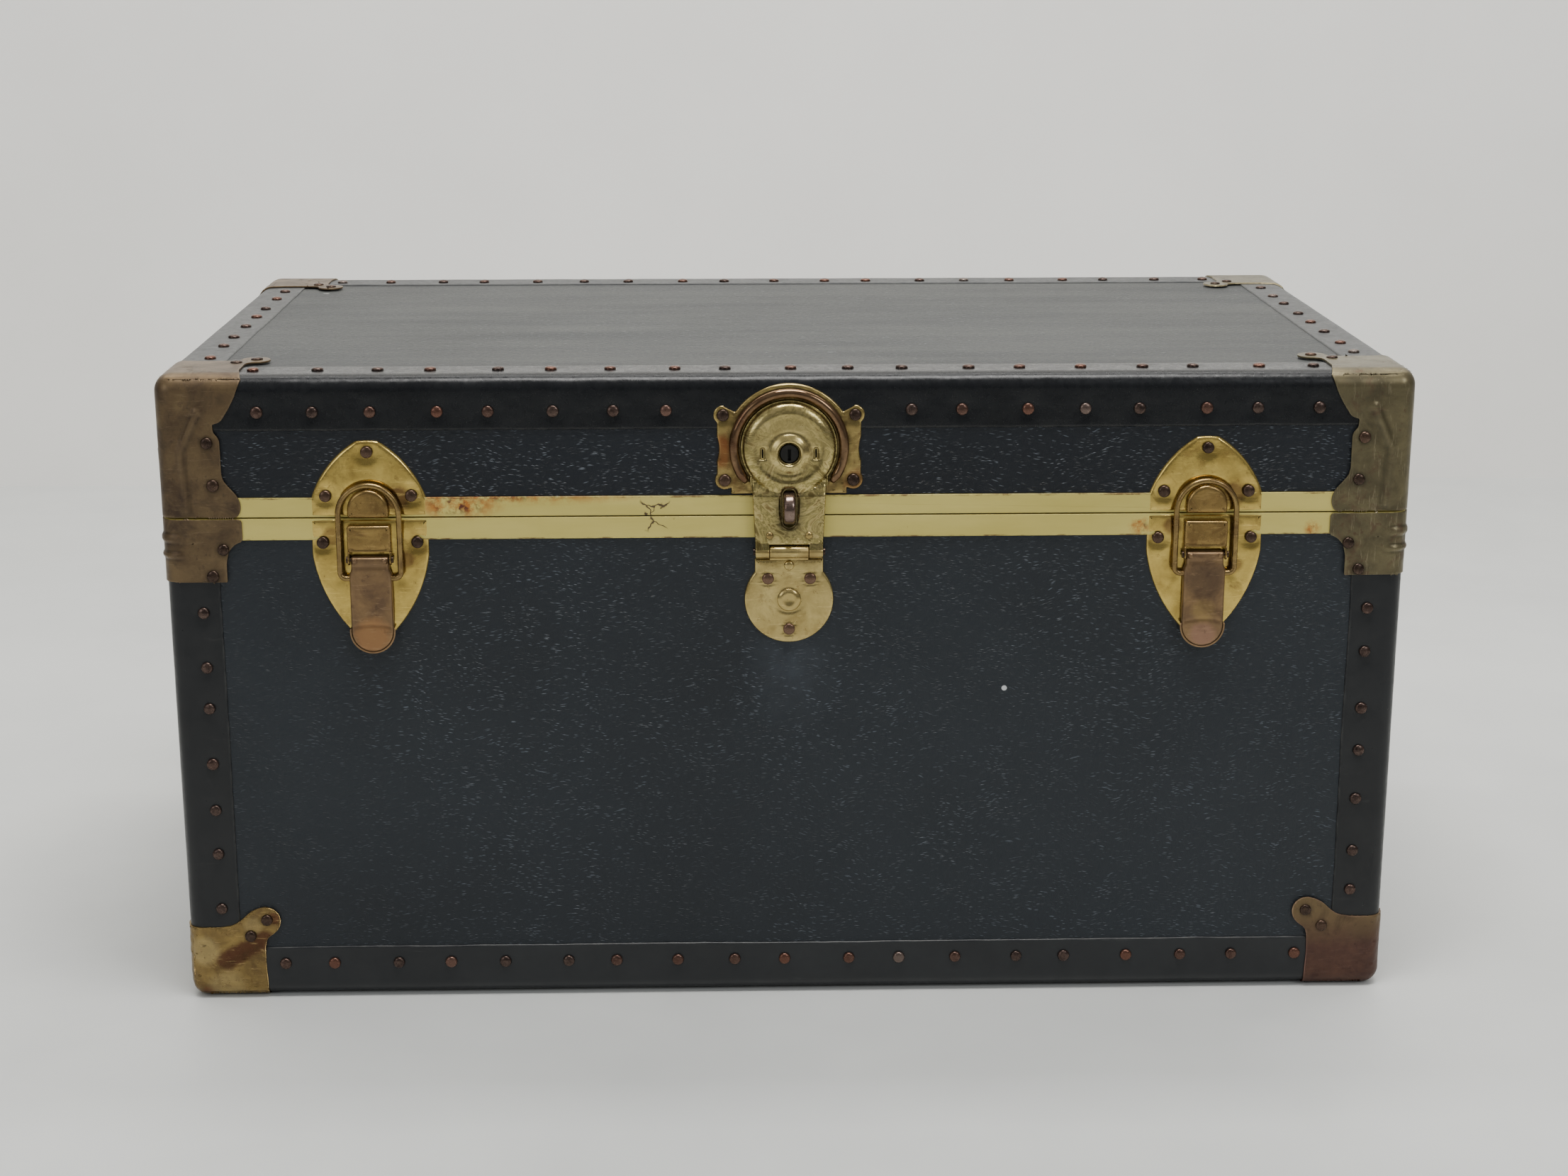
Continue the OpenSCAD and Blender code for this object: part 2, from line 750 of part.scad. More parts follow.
module latch_pin() translate([0, pin_z, pin_out]) rotate([0, 90, 0]) {
    cylinder(h = 28.6, r = pin_r, center = true);
    for (end = [-1, 1]) translate([0, 0, end * 14.5]) cylinder(h = 1, r = 2.2, center = true);
}

// The lever's face: narrow between the ears, wider below them, with a round tip
module lever_face() {
    wide = lever_half + 1.4;
    tip = lever_tip_z + wide;
    translate([-lever_half, pin_z - 10]) square([2 * lever_half, 12]);
    polygon([[-lever_half, pin_z - 7], [lever_half, pin_z - 7], [wide, pin_z - 10], [wide, tip], [-wide, tip],
        [-wide, pin_z - 10]]);
    translate([0, tip]) circle(wide);
}

// One turned-down edge of the lever: drawn in Y, the height, and Z, outward
module lever_edge() {
    translate([pin_z, pin_out]) circle(2.8);
    polygon([[pin_z, pin_out - 2.8], [pin_z + 1.5, pin_out], [pin_z + 1.5, lever_face_out - skin],
        [lever_tip_z + 14, lever_face_out - skin], [lever_tip_z + 18, pin_out - 2], [bail_z, pin_out - 2.8]]);
}

module latch_lever(x) on_face("front") translate([x, 0, 0]) difference() {
    union() {
        slab(lever_face_out - skin, lever_face_out) lever_face();
        both_sides() translate([lever_half - skin, 0, 0]) rotate([90, 0, 90])
            linear_extrude(skin) lever_edge();
    }
    translate([0, pin_z, pin_out]) rotate([0, 90, 0]) cylinder(h = 40, r = pin_r + fit, center = true);
    translate([0, bail_z, bail_out]) rotate([0, 90, 0]) cylinder(h = 40, r = bail_r - 0.4, center = true);
}

// A quarter or half of a wire ring in the plane of the face
module wire_arc(r, angle) rotate_extrude(angle = angle) translate([r, 0]) circle(bail_r);

module latch_bail(x) on_face("front") translate([x, 0, bail_out]) {
    turn = 4;
    translate([0, arch_z]) wire_arc(bail_half, 180);
    both_sides() {
        translate([bail_half, bail_z + turn]) rotate([-90, 0, 0])
            cylinder(h = arch_z - bail_z - turn, r = bail_r);
        translate([bail_half - turn, bail_z + turn]) rotate(-90) wire_arc(turn, 90);
        translate([lever_half + 0.3, bail_z]) rotate([0, 90, 0])
            cylinder(h = bail_half - turn - lever_half - 0.3, r = bail_r);
        translate([lever_half - skin - 0.8, bail_z]) rotate([0, 90, 0])
            cylinder(h = 2.4, r = bail_r - 0.4 - fit);
    }
}

module latch_left_base() placed(old_brass) latch_base(-latch_x);
module latch_right_base() placed(old_brass) latch_base(latch_x);
module latch_left_keeper() placed(old_brass) latch_keeper(-latch_x);
module latch_right_keeper() placed(old_brass) latch_keeper(latch_x);
module latch_left_lever() placed(dull_brass) latch_lever(-latch_x);
module latch_right_lever() placed(dull_brass) latch_lever(latch_x);
module latch_left_bail() placed(old_brass) latch_bail(-latch_x);
module latch_right_bail() placed(old_brass) latch_bail(latch_x);

module latch_pins() placed(nail_steel) for (x = [-latch_x, latch_x]) on_face("front") translate([x, 0, 0])
    latch_pin();

// ---- Hasp lock ----

module lock_keeper_shape() {
    ear_r = 6.3;
    low = seam_z + 13.5;
    difference() {
        union() {
            translate([0, head_z - 0.3]) circle(41.5);
            translate([-46, seam_z + 21]) square([92, 46]);
            translate([-37, low]) square([74, 12]);
            for (spot = lock_keeper_rivets) translate([spot[1], spot[2]]) circle(ear_r);
        }
        for (side = [-1, 1]) translate([side * 68.7, head_z - 1]) circle(24);
        translate([-60, 0]) square([120, low]);
    }
}

// The lid's lock plate: guard ring, two prongs for the bolt, and a tab that carries the padlock staple
module lock_keeper_plate() placed(old_brass) drilled("front", [], lid_rivet_spots) on_face("front") {
    pressed_plate(bind_high_z, big) lock_keeper_shape();
    slab(skin + 0.3, plate_out) translate([-8, seam_z - 7]) square([16, 24]);
    translate([0, head_z, plate_out]) rotate(-40) rotate_extrude(angle = 260) intersection() {
        translate([34.6, 0]) circle(2.95);
        square(60);
    }
    for (side = [-1, 1]) translate([side * prong_x, key_z, 0]) difference() {
        translate([-1, -3, plate_out]) cube([2, 6, 3.6]);
        translate([-2, 0.3, 3.9]) cube([4, 4, 1.4]);
    }
}

module staple_section() {
    for (x = [-1.8, 1.8]) translate([0, x]) circle(2);
    translate([-2, -1.8]) square([4, 3.6]);
}

module padlock_staple() placed(nail_steel) on_face("front") translate([0, staple_z, 0]) {
    translate([0, 0, staple_out]) rotate([90, 0, 90]) rotate_extrude(angle = 180)
        translate([staple_r, 0]) staple_section();
    for (side = [-1, 1]) translate([0, side * staple_r, plate_out]) linear_extrude(staple_out - plate_out)
        rotate(90) staple_section();
}

// The hasp's hollow pressing, a domed head and a neck, drawn in by a wall thickness for its inside
module hasp_form(wall) {
    shoulder = hasp_out - hasp_in;
    translate([0, head_z, 0]) rotate_extrude() intersection() {
        union() {
            square([head_r - shoulder, hasp_out - wall]);
            translate([head_r - shoulder, hasp_in]) circle(shoulder - wall);
        }
        translate([0, hasp_in]) square([head_r, shoulder]);
    }
    slab(hasp_in, neck_out - wall) polygon([
        [-24 + wall, head_z - 20], [-21.8 + wall, hasp_axis_z + 4.9], [21.8 - wall, hasp_axis_z + 4.9],
        [24 - wall, head_z - 20]
    ]);
}

module hasp_knuckles() both_sides() translate([knuckle_half + 0.2, 0, 0]) difference() {
    rotate([90, 0, 90]) linear_extrude(21.8 - knuckle_half - 0.2) {
        translate([hasp_axis_z, hasp_axis_out]) circle(knuckle_r);
        translate([hasp_axis_z, hasp_axis_out]) square([6.5, neck_out - hasp_axis_out]);
    }
    translate([-5, hasp_axis_z, hasp_axis_out]) rotate([0, 90, 0]) cylinder(h = 30, r = 1.5 + fit);
}

module key_boss() translate([0, key_z, 0]) rotate_extrude() {
    polygon([[keyhole_r, hasp_out - 0.6], [12.8, hasp_out - 0.6], [12.8, hasp_out], [9.6, hasp_out + 1.8],
        [keyhole_r, hasp_out + 1.8]]);
    translate([keyhole_r, 5.6]) square([1.2, hasp_out - 5.6]);
}

module hasp() placed(old_brass) on_face("front") {
    difference() {
        hasp_form(0);
        hasp_form(1);
        translate([0, key_z, 0]) cylinder(h = 20, r = keyhole_r);
        for (side = [-1, 1]) translate([side * prong_x - 1.25, key_z - 3.6, neck_out - 1.5])
            cube([2.5, 7.2, 5]);
        slab(neck_out - 3, neck_out + 1) staple_slot();
    }
    key_boss();
    hasp_knuckles();
    for (side = [-1, 1]) translate([side * 12.6, seam_z - 12.5, neck_out]) rotate_extrude() dome(2.2, 0.9);
}

module staple_slot() {
    for (z = [staple_z - 8.6, staple_z + 8.1]) translate([0, z]) circle(4.9);
    translate([-4.9, staple_z - 8.6]) square([9.8, 16.7]);
}

module lock_back_cover() placed(dull_brass) on_face("front") slab(hasp_in, hasp_in + 0.8) difference() {
    translate([0, head_z]) circle(head_r - 1.1);
    for (side = [-1, 1]) translate([side * prong_x - 1.5, key_z - 3.8]) square([3, 7.6]);
    translate([-head_r, staple_z - 20]) square([2 * head_r, 32]);
}

module lock_barrel() placed(dull_brass) on_face("front") translate([0, key_z, 0]) difference() {
    translate([0, 0, 4.4]) cylinder(h = 3.6, r = keyhole_r - fit);
    translate([-1, -4.6, 5.6]) cube([2, 7.4, 5]);
}

module lock_bolt() placed(nail_steel) on_face("front") slab(4, 5.2) translate([0, key_z]) {
    translate([-19.5, 9.6]) square([39, 4]);
    for (side = [-1, 1]) translate([side * prong_x - 1.4, 3.4]) square([2.8, 7]);
}

// The body's lock plate: a disc with a short neck, and the middle knuckle of the hasp's hinge
module lock_base_plate() placed(old_brass) drilled("front", [], body_rivet_spots) on_face("front") {
    neck_top = hasp_axis_z - 5.2;
    slab(0, plate_out) {
        translate([0, base_z]) circle(base_r);
        translate([-22.2, base_z + 18]) square([44.4, neck_top - base_z - 18]);
    }
    translate([0, base_z, plate_out]) rotate_extrude() dome(7, 1.6);
    translate([0, neck_top - 4.5, plate_out]) rotate_extrude() dome(2.7, 1);
    difference() {
        translate([-knuckle_half, 0, 0]) rotate([90, 0, 90]) linear_extrude(2 * knuckle_half) {
            translate([hasp_axis_z, hasp_axis_out]) circle(knuckle_r);
            translate([neck_top - 1, 0]) square([6.2, plate_out]);
        }
        translate([0, hasp_axis_z, hasp_axis_out]) rotate([0, 90, 0])
            cylinder(h = 60, r = 1.5 + fit, center = true);
    }
}

module hasp_pin() placed(nail_steel) on_face("front") translate([0, hasp_axis_z, hasp_axis_out])
    rotate([0, 90, 0]) {
        cylinder(h = 43.8, r = 1.5, center = true);
        for (end = [-1, 1]) translate([0, 0, end * 22.5]) cylinder(h = 1, r = 2.4, center = true);
    }

// ---- Hinges: each drawn about its axis, with the leaf hanging down ----

module hinge_leaf_shape() {
    edge = -seam_gap / 2 - leaf_drop;
    translate([-leaf_half, edge]) square([2 * leaf_half, leaf_drop]);
    translate([0, edge]) circle(leaf_tip_r);
}

module hinge_knuckle(from, to) translate([from, 0, 0]) rotate([90, 0, 90]) linear_extrude(to - from)
    difference() {
        union() {
            translate([0, hinge_out]) circle(hinge_r);
            translate([-hinge_r, skin]) square([hinge_r - seam_gap / 2, 3]);
        }
        translate([0, hinge_out]) circle(hinge_pin_r + fit);
    }

// The body's leaf has the two outer knuckles, and is notched for the middle one
module outer_leaf() {
    inner_end = middle_half + knuckle_gap;
    pressed_plate(-seam_gap / 2 - body_rim_h, -seam_gap / 2) difference() {
        hinge_leaf_shape();
        translate([-inner_end, -4.5]) square([2 * inner_end, 10]);
    }
    both_sides() hinge_knuckle(inner_end, leaf_half);
}

// The lid's leaf has the middle knuckle, and is notched for the outer ones
module middle_leaf() {
    pressed_plate(-seam_gap / 2 - lid_rim_h, -seam_gap / 2) difference() {
        hinge_leaf_shape();
        both_sides() translate([middle_half, -4.5]) square([leaf_half, 10]);
    }
    hinge_knuckle(-middle_half, middle_half);
}

module at_hinges() for (x = [-hinge_x, hinge_x]) on_face("rear") translate([x, seam_z - seam_gap / 2, 0])
    children();

module hinge_lower_leaves() placed(dull_brass) drilled("rear", [], body_rivet_spots) at_hinges() outer_leaf();

module hinge_upper_leaves() placed(dull_brass) drilled("rear", [], lid_rivet_spots)
    at_hinges() mirror([0, 1, 0]) middle_leaf();

module hinge_pins() placed(nail_steel) at_hinges() translate([0, 0, hinge_out]) rotate([0, 90, 0]) {
    cylinder(h = 2 * leaf_half + 1, r = hinge_pin_r, center = true);
    for (end = [-1, 1]) translate([0, 0, end * (leaf_half + 0.8)])
        cylinder(h = 1, r = hinge_pin_r + 1, center = true);
}

// ---- End handles: a leather loop that hangs from two riveted mounts ----

module mount_ear() {
    translate([0, handle_out]) circle(5);
    translate([-5, plate_out]) square([10, handle_out - plate_out]);
}

module handle_mount() {
    slab(0, plate_out) {
        for (end = [-1, 1]) translate([0, mount_rivet * end]) circle(mount_r);
        translate([-mount_r, -mount_rivet]) square([2 * mount_r, 2 * mount_rivet]);
    }
    both_sides() translate([loop_half + knuckle_gap, 0, 0]) rotate([90, 0, 90]) linear_extrude(2) mount_ear();
    translate([0, 0, handle_out]) rotate([0, 90, 0]) cylinder(h = 12, r = handle_pin_r, center = true);
}

module handle_mounts() placed(dull_brass)
    drilled("left", [], body_rivet_spots) drilled("right", [], body_rivet_spots)
        for (face = ["left", "right"], x = [-handle_half, handle_half])
            on_face(face) translate([x, handle_z, 0]) handle_mount();

module handle() {
    both_sides() translate([handle_half, 0, 0]) difference() {
        union() {
            rotate([0, 90, 0]) cylinder(h = 2 * loop_half, r = 5.4, center = true);
            translate([-loop_half, -handle_drop, -3.5]) cube([2 * loop_half, handle_drop, 7]);
        }
        rotate([0, 90, 0]) cylinder(h = 20, r = handle_pin_r + fit, center = true);
    }
    translate([0, -handle_drop, 0]) {
        rotate([0, 90, 0]) cylinder(h = 2 * handle_half - 6, r = grip_r, center = true);
        both_sides() translate([handle_half - 3, 0, 0]) sphere(grip_r);
    }
}

module handle_left() placed(leather_tan) on_face("left") translate([0, handle_z, handle_out]) handle();
module handle_right() placed(leather_tan) on_face("right") translate([0, handle_z, handle_out]) handle();

body_front_panel();
body_rear_panel();
body_left_panel();
body_right_panel();
body_bottom_panel();
body_lining();
body_rim();
body_front_binding();
body_rear_binding();
body_side_bindings();
body_upright_bindings();
rim_corner_front_left();
rim_corner_front_right();
rim_corner_rear_left();
rim_corner_rear_right();
foot_corner_front_left();
foot_corner_front_right();
foot_corner_rear_left();
foot_corner_rear_right();
body_nails();
body_rivets();
latch_left_base();
latch_right_base();
latch_pins();
lock_base_plate();
hasp_pin();
hinge_lower_leaves();
hinge_pins();
handle_mounts();
lid_top_panel();
lid_front_panel();
lid_rear_panel();
lid_left_panel();
lid_right_panel();
lid_lining();
lid_rim();
lid_front_binding();
lid_rear_binding();
lid_side_bindings();
lid_corner_front_left();
lid_corner_front_right();
lid_corner_rear_left();
lid_corner_rear_right();
lid_nails();
lid_rivets();
latch_left_keeper();
latch_right_keeper();
lock_keeper_plate();
padlock_staple();
hinge_upper_leaves();
latch_left_lever();
latch_left_bail();
latch_right_lever();
latch_right_bail();
hasp();
lock_back_cover();
lock_barrel();
lock_bolt();
handle_left();
handle_right();
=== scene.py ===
import math
import random

import bmesh
import bpy
import numpy as np
from mathutils import Matrix, Vector


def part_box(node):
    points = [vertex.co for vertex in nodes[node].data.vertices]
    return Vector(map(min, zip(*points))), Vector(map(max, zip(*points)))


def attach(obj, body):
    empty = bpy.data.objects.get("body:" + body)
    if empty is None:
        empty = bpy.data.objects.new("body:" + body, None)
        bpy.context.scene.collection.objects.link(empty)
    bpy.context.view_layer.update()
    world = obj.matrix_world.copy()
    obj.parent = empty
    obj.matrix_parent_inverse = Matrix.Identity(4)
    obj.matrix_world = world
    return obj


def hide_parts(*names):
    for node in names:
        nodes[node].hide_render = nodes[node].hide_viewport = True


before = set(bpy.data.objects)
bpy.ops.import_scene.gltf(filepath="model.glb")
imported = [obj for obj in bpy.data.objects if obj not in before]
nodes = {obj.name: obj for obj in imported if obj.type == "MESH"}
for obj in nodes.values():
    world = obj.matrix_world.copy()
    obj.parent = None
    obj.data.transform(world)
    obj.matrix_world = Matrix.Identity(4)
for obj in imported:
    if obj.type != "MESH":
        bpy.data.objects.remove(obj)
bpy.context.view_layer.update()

# ---- The case's levels in mm, read from the CAD ----

MM = 0.001


def box_mm(node):
    lo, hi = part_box(node)
    return Vector(lo) / MM, Vector(hi) / MM


PANEL_T = 9.0
SKIN = 1.2
PLATE = 2 * SKIN
end_lo, end_hi = box_mm("body_left_panel")
HALF_W = -end_lo.x
HALF_D = (end_hi.y - end_lo.y) / 2
SHIFT = (end_hi.y + end_lo.y) / 2
TOP_Z = box_mm("lid_top_panel")[1].z
FLOOR_Z = box_mm("body_bottom_panel")[0].z
SEAM = box_mm("lid_rim")[0].z
BODY_TOP = SEAM - 1.0
EDGE_X = HALF_W + SKIN
EDGE_Y = HALF_D + SKIN
INNER_X = HALF_W - PANEL_T
INNER_Y = HALF_D - PANEL_T
OUT = (0, -1, 0)
NAIL_HEAD_R = 4.0
RIVET_HEAD_R = 4.0


def on_face(face, across, up, out):
    """A point on a face of the case, in mm, with out measured from the panel's surface."""
    if face == "front":
        return Vector((across, -HALF_D - out + SHIFT, up))
    if face == "rear":
        return Vector((-across, HALF_D + out + SHIFT, up))
    if face == "left":
        return Vector((-HALF_W - out, -across + SHIFT, up))
    if face == "right":
        return Vector((HALF_W + out, across + SHIFT, up))
    if face == "top":
        return Vector((across, up + SHIFT, TOP_Z + out))
    return Vector((across, -up + SHIFT, FLOOR_Z - out))


# ---- Node materials ----

class Shade:
    """A short way to write one procedural material."""

    def __init__(self, name):
        self.mat = bpy.data.materials.new(name)
        self.mat.use_nodes = True
        self.tree = self.mat.node_tree
        self.bsdf = self.tree.nodes["Principled BSDF"]
        self.coord = self.node("ShaderNodeTexCoord").outputs["Object"]

    def node(self, kind):
        return self.tree.nodes.new(kind)

    def put(self, socket, value):
        if isinstance(value, bpy.types.NodeSocket):
            self.tree.links.new(value, socket)
        elif value is not None:
            socket.default_value = value

    def moved(self, scale=(1, 1, 1), turn=(0, 0, 0), shift=(0, 0, 0), vector=None):
        n = self.node("ShaderNodeMapping")
        self.put(n.inputs["Vector"], vector or self.coord)
        n.inputs["Scale"].default_value = scale
        n.inputs["Rotation"].default_value = turn
        n.inputs["Location"].default_value = shift
        return n.outputs["Vector"]

    def noise(self, scale, detail=3.0, rough=0.55, warp=0.0, vector=None, colour=False):
        n = self.node("ShaderNodeTexNoise")
        self.put(n.inputs["Vector"], vector or self.coord)
        n.inputs["Scale"].default_value = scale
        n.inputs["Detail"].default_value = detail
        n.inputs["Roughness"].default_value = rough
        n.inputs["Distortion"].default_value = warp
        return n.outputs["Color" if colour else "Fac"]

    def cells(self, scale, feature="F1", vector=None, random=1.0):
        n = self.node("ShaderNodeTexVoronoi")
        n.feature = feature
        self.put(n.inputs["Vector"], vector or self.coord)
        n.inputs["Scale"].default_value = scale
        n.inputs["Randomness"].default_value = random
        return n.outputs["Distance"]

    def ramp(self, fac, stops):
        n = self.node("ShaderNodeValToRGB")
        self.put(n.inputs["Fac"], fac)
        bar = n.color_ramp
        while len(bar.elements) < len(stops):
            bar.elements.new(0.5)
        for element, (at, value) in zip(bar.elements, stops):
            element.position = at
            if not hasattr(value, "__len__"):
                value = (value, value, value)
            element.color = (*value, 1)
        return n.outputs["Color"]

    def rise(self, fac, start, end):
        return self.ramp(fac, [(start, 0.0), (end, 1.0)])

    def fall(self, fac, start, end):
        return self.ramp(fac, [(start, 1.0), (end, 0.0)])

    def math(self, kind, a, b, clamp=False):
        n = self.node("ShaderNodeMath")
        n.operation = kind
        n.use_clamp = clamp
        self.put(n.inputs[0], a)
        self.put(n.inputs[1], b)
        return n.outputs["Value"]

    def times(self, a, b):
        return self.math("MULTIPLY", a, b)

    def mix(self, fac, a, b, kind="MIX"):
        n = self.node("ShaderNodeMix")
        n.data_type = "RGBA"
        n.blend_type = kind
        self.put(n.inputs["Factor"], fac)
        for key, value in (("A", a), ("B", b)):
            socket = [s for s in n.inputs if s.name == key and s.type == "RGBA"][0]
            if hasattr(value, "__len__") and not isinstance(value, bpy.types.NodeSocket):
                value = (*value, 1)
            self.put(socket, value)
        return [s for s in n.outputs if s.type == "RGBA"][0]

    def bump(self, height, distance, strength=1.0, normal=None):
        n = self.node("ShaderNodeBump")
        self.put(n.inputs["Height"], height)
        n.inputs["Distance"].default_value = distance
        n.inputs["Strength"].default_value = strength
        self.put(n.inputs["Normal"], normal)
        return n.outputs["Normal"]

    def soft_edges(self, radius):
        n = self.node("ShaderNodeBevel")
        n.samples = 4
        n.inputs["Radius"].default_value = radius
        return n.outputs["Normal"]

    def attribute(self, name):
        n = self.node("ShaderNodeAttribute")
        n.attribute_name = name
        return n.outputs["Fac"]

    def part(self, axis):
        n = self.node("ShaderNodeSeparateXYZ")
        self.put(n.inputs["Vector"], self.coord)
        return n.outputs[axis]

    def near(self, centre, radius, stretch=(1, 1, 1)):
        """One at a point, falling to nothing at a radius, in mm. A stretch shortens it along an axis."""
        shift = tuple(-c * MM * s for c, s in zip(centre, stretch))
        vector = self.moved(scale=stretch, shift=shift)
        n = self.node("ShaderNodeVectorMath")
        n.operation = "LENGTH"
        self.put(n.inputs[0], vector)
        return self.math("SUBTRACT", 1.0, self.math("DIVIDE", n.outputs["Value"], radius * MM), clamp=True)

    def finish(self, colour, rough, metal=0.0, normal=None, coat=0.0, specular=0.5):
        self.put(self.bsdf.inputs["Base Color"], colour)
        self.put(self.bsdf.inputs["Roughness"], rough)
        self.put(self.bsdf.inputs["Metallic"], metal)
        self.put(self.bsdf.inputs["Normal"], normal)
        self.bsdf.inputs["Coat Weight"].default_value = coat
        self.bsdf.inputs["Coat Roughness"].default_value = 0.2
        self.bsdf.inputs["Specular IOR Level"].default_value = specular
        return self.mat


def leatherette(name, base, dust, dust_amount, glint, sparse=0.2):
    """Grained cover: soft pebbles, fine creases, and short pale strokes painted as glints, a painted
    highlight where the grain would catch light.
    """
    s = Shade(name)
    warp = s.noise(22, 2, vector=s.coord, colour=True)
    bent = s.mix(0.02, s.coord, warp, "ADD")
    pebbles = s.cells(330, "SMOOTH_F1", vector=bent)
    creases = s.noise(520, 3, 0.6, 1.2, vector=s.moved((1, 1, 0.8), (0, 0.5, 0)))
    strokes_a = s.cells(380, vector=s.moved((0.36, 0.36, 2.1), (0, 0.25, 0), vector=bent))
    strokes_b = s.cells(380, vector=s.moved((0.36, 0.36, 2.0), (0, -0.65, 0), (0.3, 0.1, 0.7), vector=bent))
    cut_a = s.fall(strokes_a, 0.10, 0.27)
    cut_b = s.fall(strokes_b, 0.08, 0.22)
    strokes = s.math("MAXIMUM", cut_a, cut_b)
    patches = s.ramp(s.noise(8, 3, 0.6), [(0.36, sparse), (0.62, 1.0)])
    fine = s.rise(s.noise(120, 3), 0.40, 0.60)
    shine = s.times(s.times(strokes, patches), fine)
    clouds = s.noise(5, 4, 0.6)
    tone = s.ramp(clouds, [(0.3, tuple(v * 0.8 for v in base)), (0.7, tuple(v * 1.25 for v in base))])
    streaks = s.ramp(s.noise(7, 5, 0.65, vector=s.moved((0.35, 1.6, 1.0))), [(0.32, 0.35), (0.72, 1.0)])
    tone = s.mix(s.times(streaks, dust_amount), tone, dust)
    # Painted highlight: the pale strokes are glints of light painted onto the grain.
    tone = s.mix(s.times(shine, glint), tone, (0.105, 0.125, 0.15))
    height = s.math("ADD", s.times(pebbles, 0.6), s.times(creases, 0.7))
    height = s.math("ADD", height, s.times(strokes, 0.5))
    rough = s.ramp(s.math("SUBTRACT", creases, s.times(shine, 0.4)), [(0.1, 0.27), (0.75, 0.48)])
    return s, tone, rough, s.bump(height, 0.0005, 0.9)


def cover_material():
    s, tone, rough, normal = leatherette("leatherette", (0.0105, 0.0140, 0.0185), (0.045, 0.05, 0.05), 0.10,
        0.85)
    drip = s.near((2, -213.8, 232), 34, (1, 1, 0.62))
    tone = s.mix(s.times(drip, s.ramp(s.noise(60, 4), [(0.35, 0.12), (0.7, 0.5)])), tone,
                 (0.055, 0.067, 0.083))
    chip = s.rise(s.near((141, -213.8, 213), 2.4), 0.2, 0.35)
    tone = s.mix(chip, tone, (0.55, 0.56, 0.56))
    return s.finish(tone, rough, 0.0, normal, specular=0.32)


def lid_cover_material():
    # Painted shade: a darker copy of the body's cover for the lid front, with denser painted glints.
    s, tone, rough, normal = leatherette("leatherette_lid", (0.0060, 0.0080, 0.0115), (0.03, 0.033, 0.035),
        0.08, 1.0, 0.6)
    return s.finish(tone, rough, 0.0, normal, specular=0.30)


def top_material():
    # A paler copy of the cover for the top: its pale dust and streak tones are dust, and partly a painted
    # sheen of the grazing reflection.
    s, tone, rough, normal = leatherette("leatherette_top", (0.016, 0.0185, 0.021), (0.095, 0.097, 0.091),
        0.5, 0.25)
    lines = s.ramp(s.noise(16, 5, 0.65, vector=s.moved((0.25, 2.2, 1.0))), [(0.42, 0.0), (0.68, 0.5)])
    tone = s.mix(lines, tone, (0.085, 0.087, 0.081))
    fleck = s.rise(s.near((-345, 150, 421), 3.5, (1, 2.5, 1)), 0.2, 0.4)
    tone = s.mix(fleck, tone, (0.5, 0.5, 0.47))
    return s.finish(tone, s.math("ADD", rough, 0.12), 0.0, normal, specular=0.18)


def fibre_material(name, dust_amount, rough_low, low=(0.0045, 0.0055, 0.0072), high=(0.0105, 0.0125, 0.0145),
                   specular=0.4):
    s = Shade(name)
    grain = s.noise(260, 4, 0.6)
    ripple = s.noise(38, 2, 0.5, vector=s.moved((1, 1, 1.4)))
    clouds = s.ramp(s.noise(14, 4, 0.6), [(0.3, low), (0.72, high)])
    dust = s.ramp(s.noise(48, 5, 0.7), [(0.35, 0.25), (0.75, 1.0)])
    tone = s.mix(s.times(dust, dust_amount), clouds, (0.10, 0.10, 0.093))
    edge = s.attribute("edge")
    frayed = s.times(edge, s.rise(s.noise(90, 4, 0.7), 0.4, 0.62))
    tone = s.mix(s.times(frayed, 0.3), tone, (0.12, 0.12, 0.11))
    scuffs = s.rise(s.noise(30, 5, 0.75, 0.6, vector=s.moved((0.5, 1, 3))), 0.63, 0.74)
    tone = s.mix(s.times(scuffs, 0.12), tone, (0.14, 0.145, 0.14))
    rough = s.ramp(grain, [(0.25, rough_low), (0.75, rough_low + 0.17)])
    normal = s.bump(ripple, 0.0012, 0.55, s.bump(grain, 0.00012, 0.6))
    return s.finish(tone, rough, 0.0, normal, specular=specular)


FINE_SCRATCHES = ((1.0, 1.0, 9.0), (0, 0.8, 0))
DRAWN_STREAKS = ((7.0, 7.0, 0.7), (0, 0, 0))


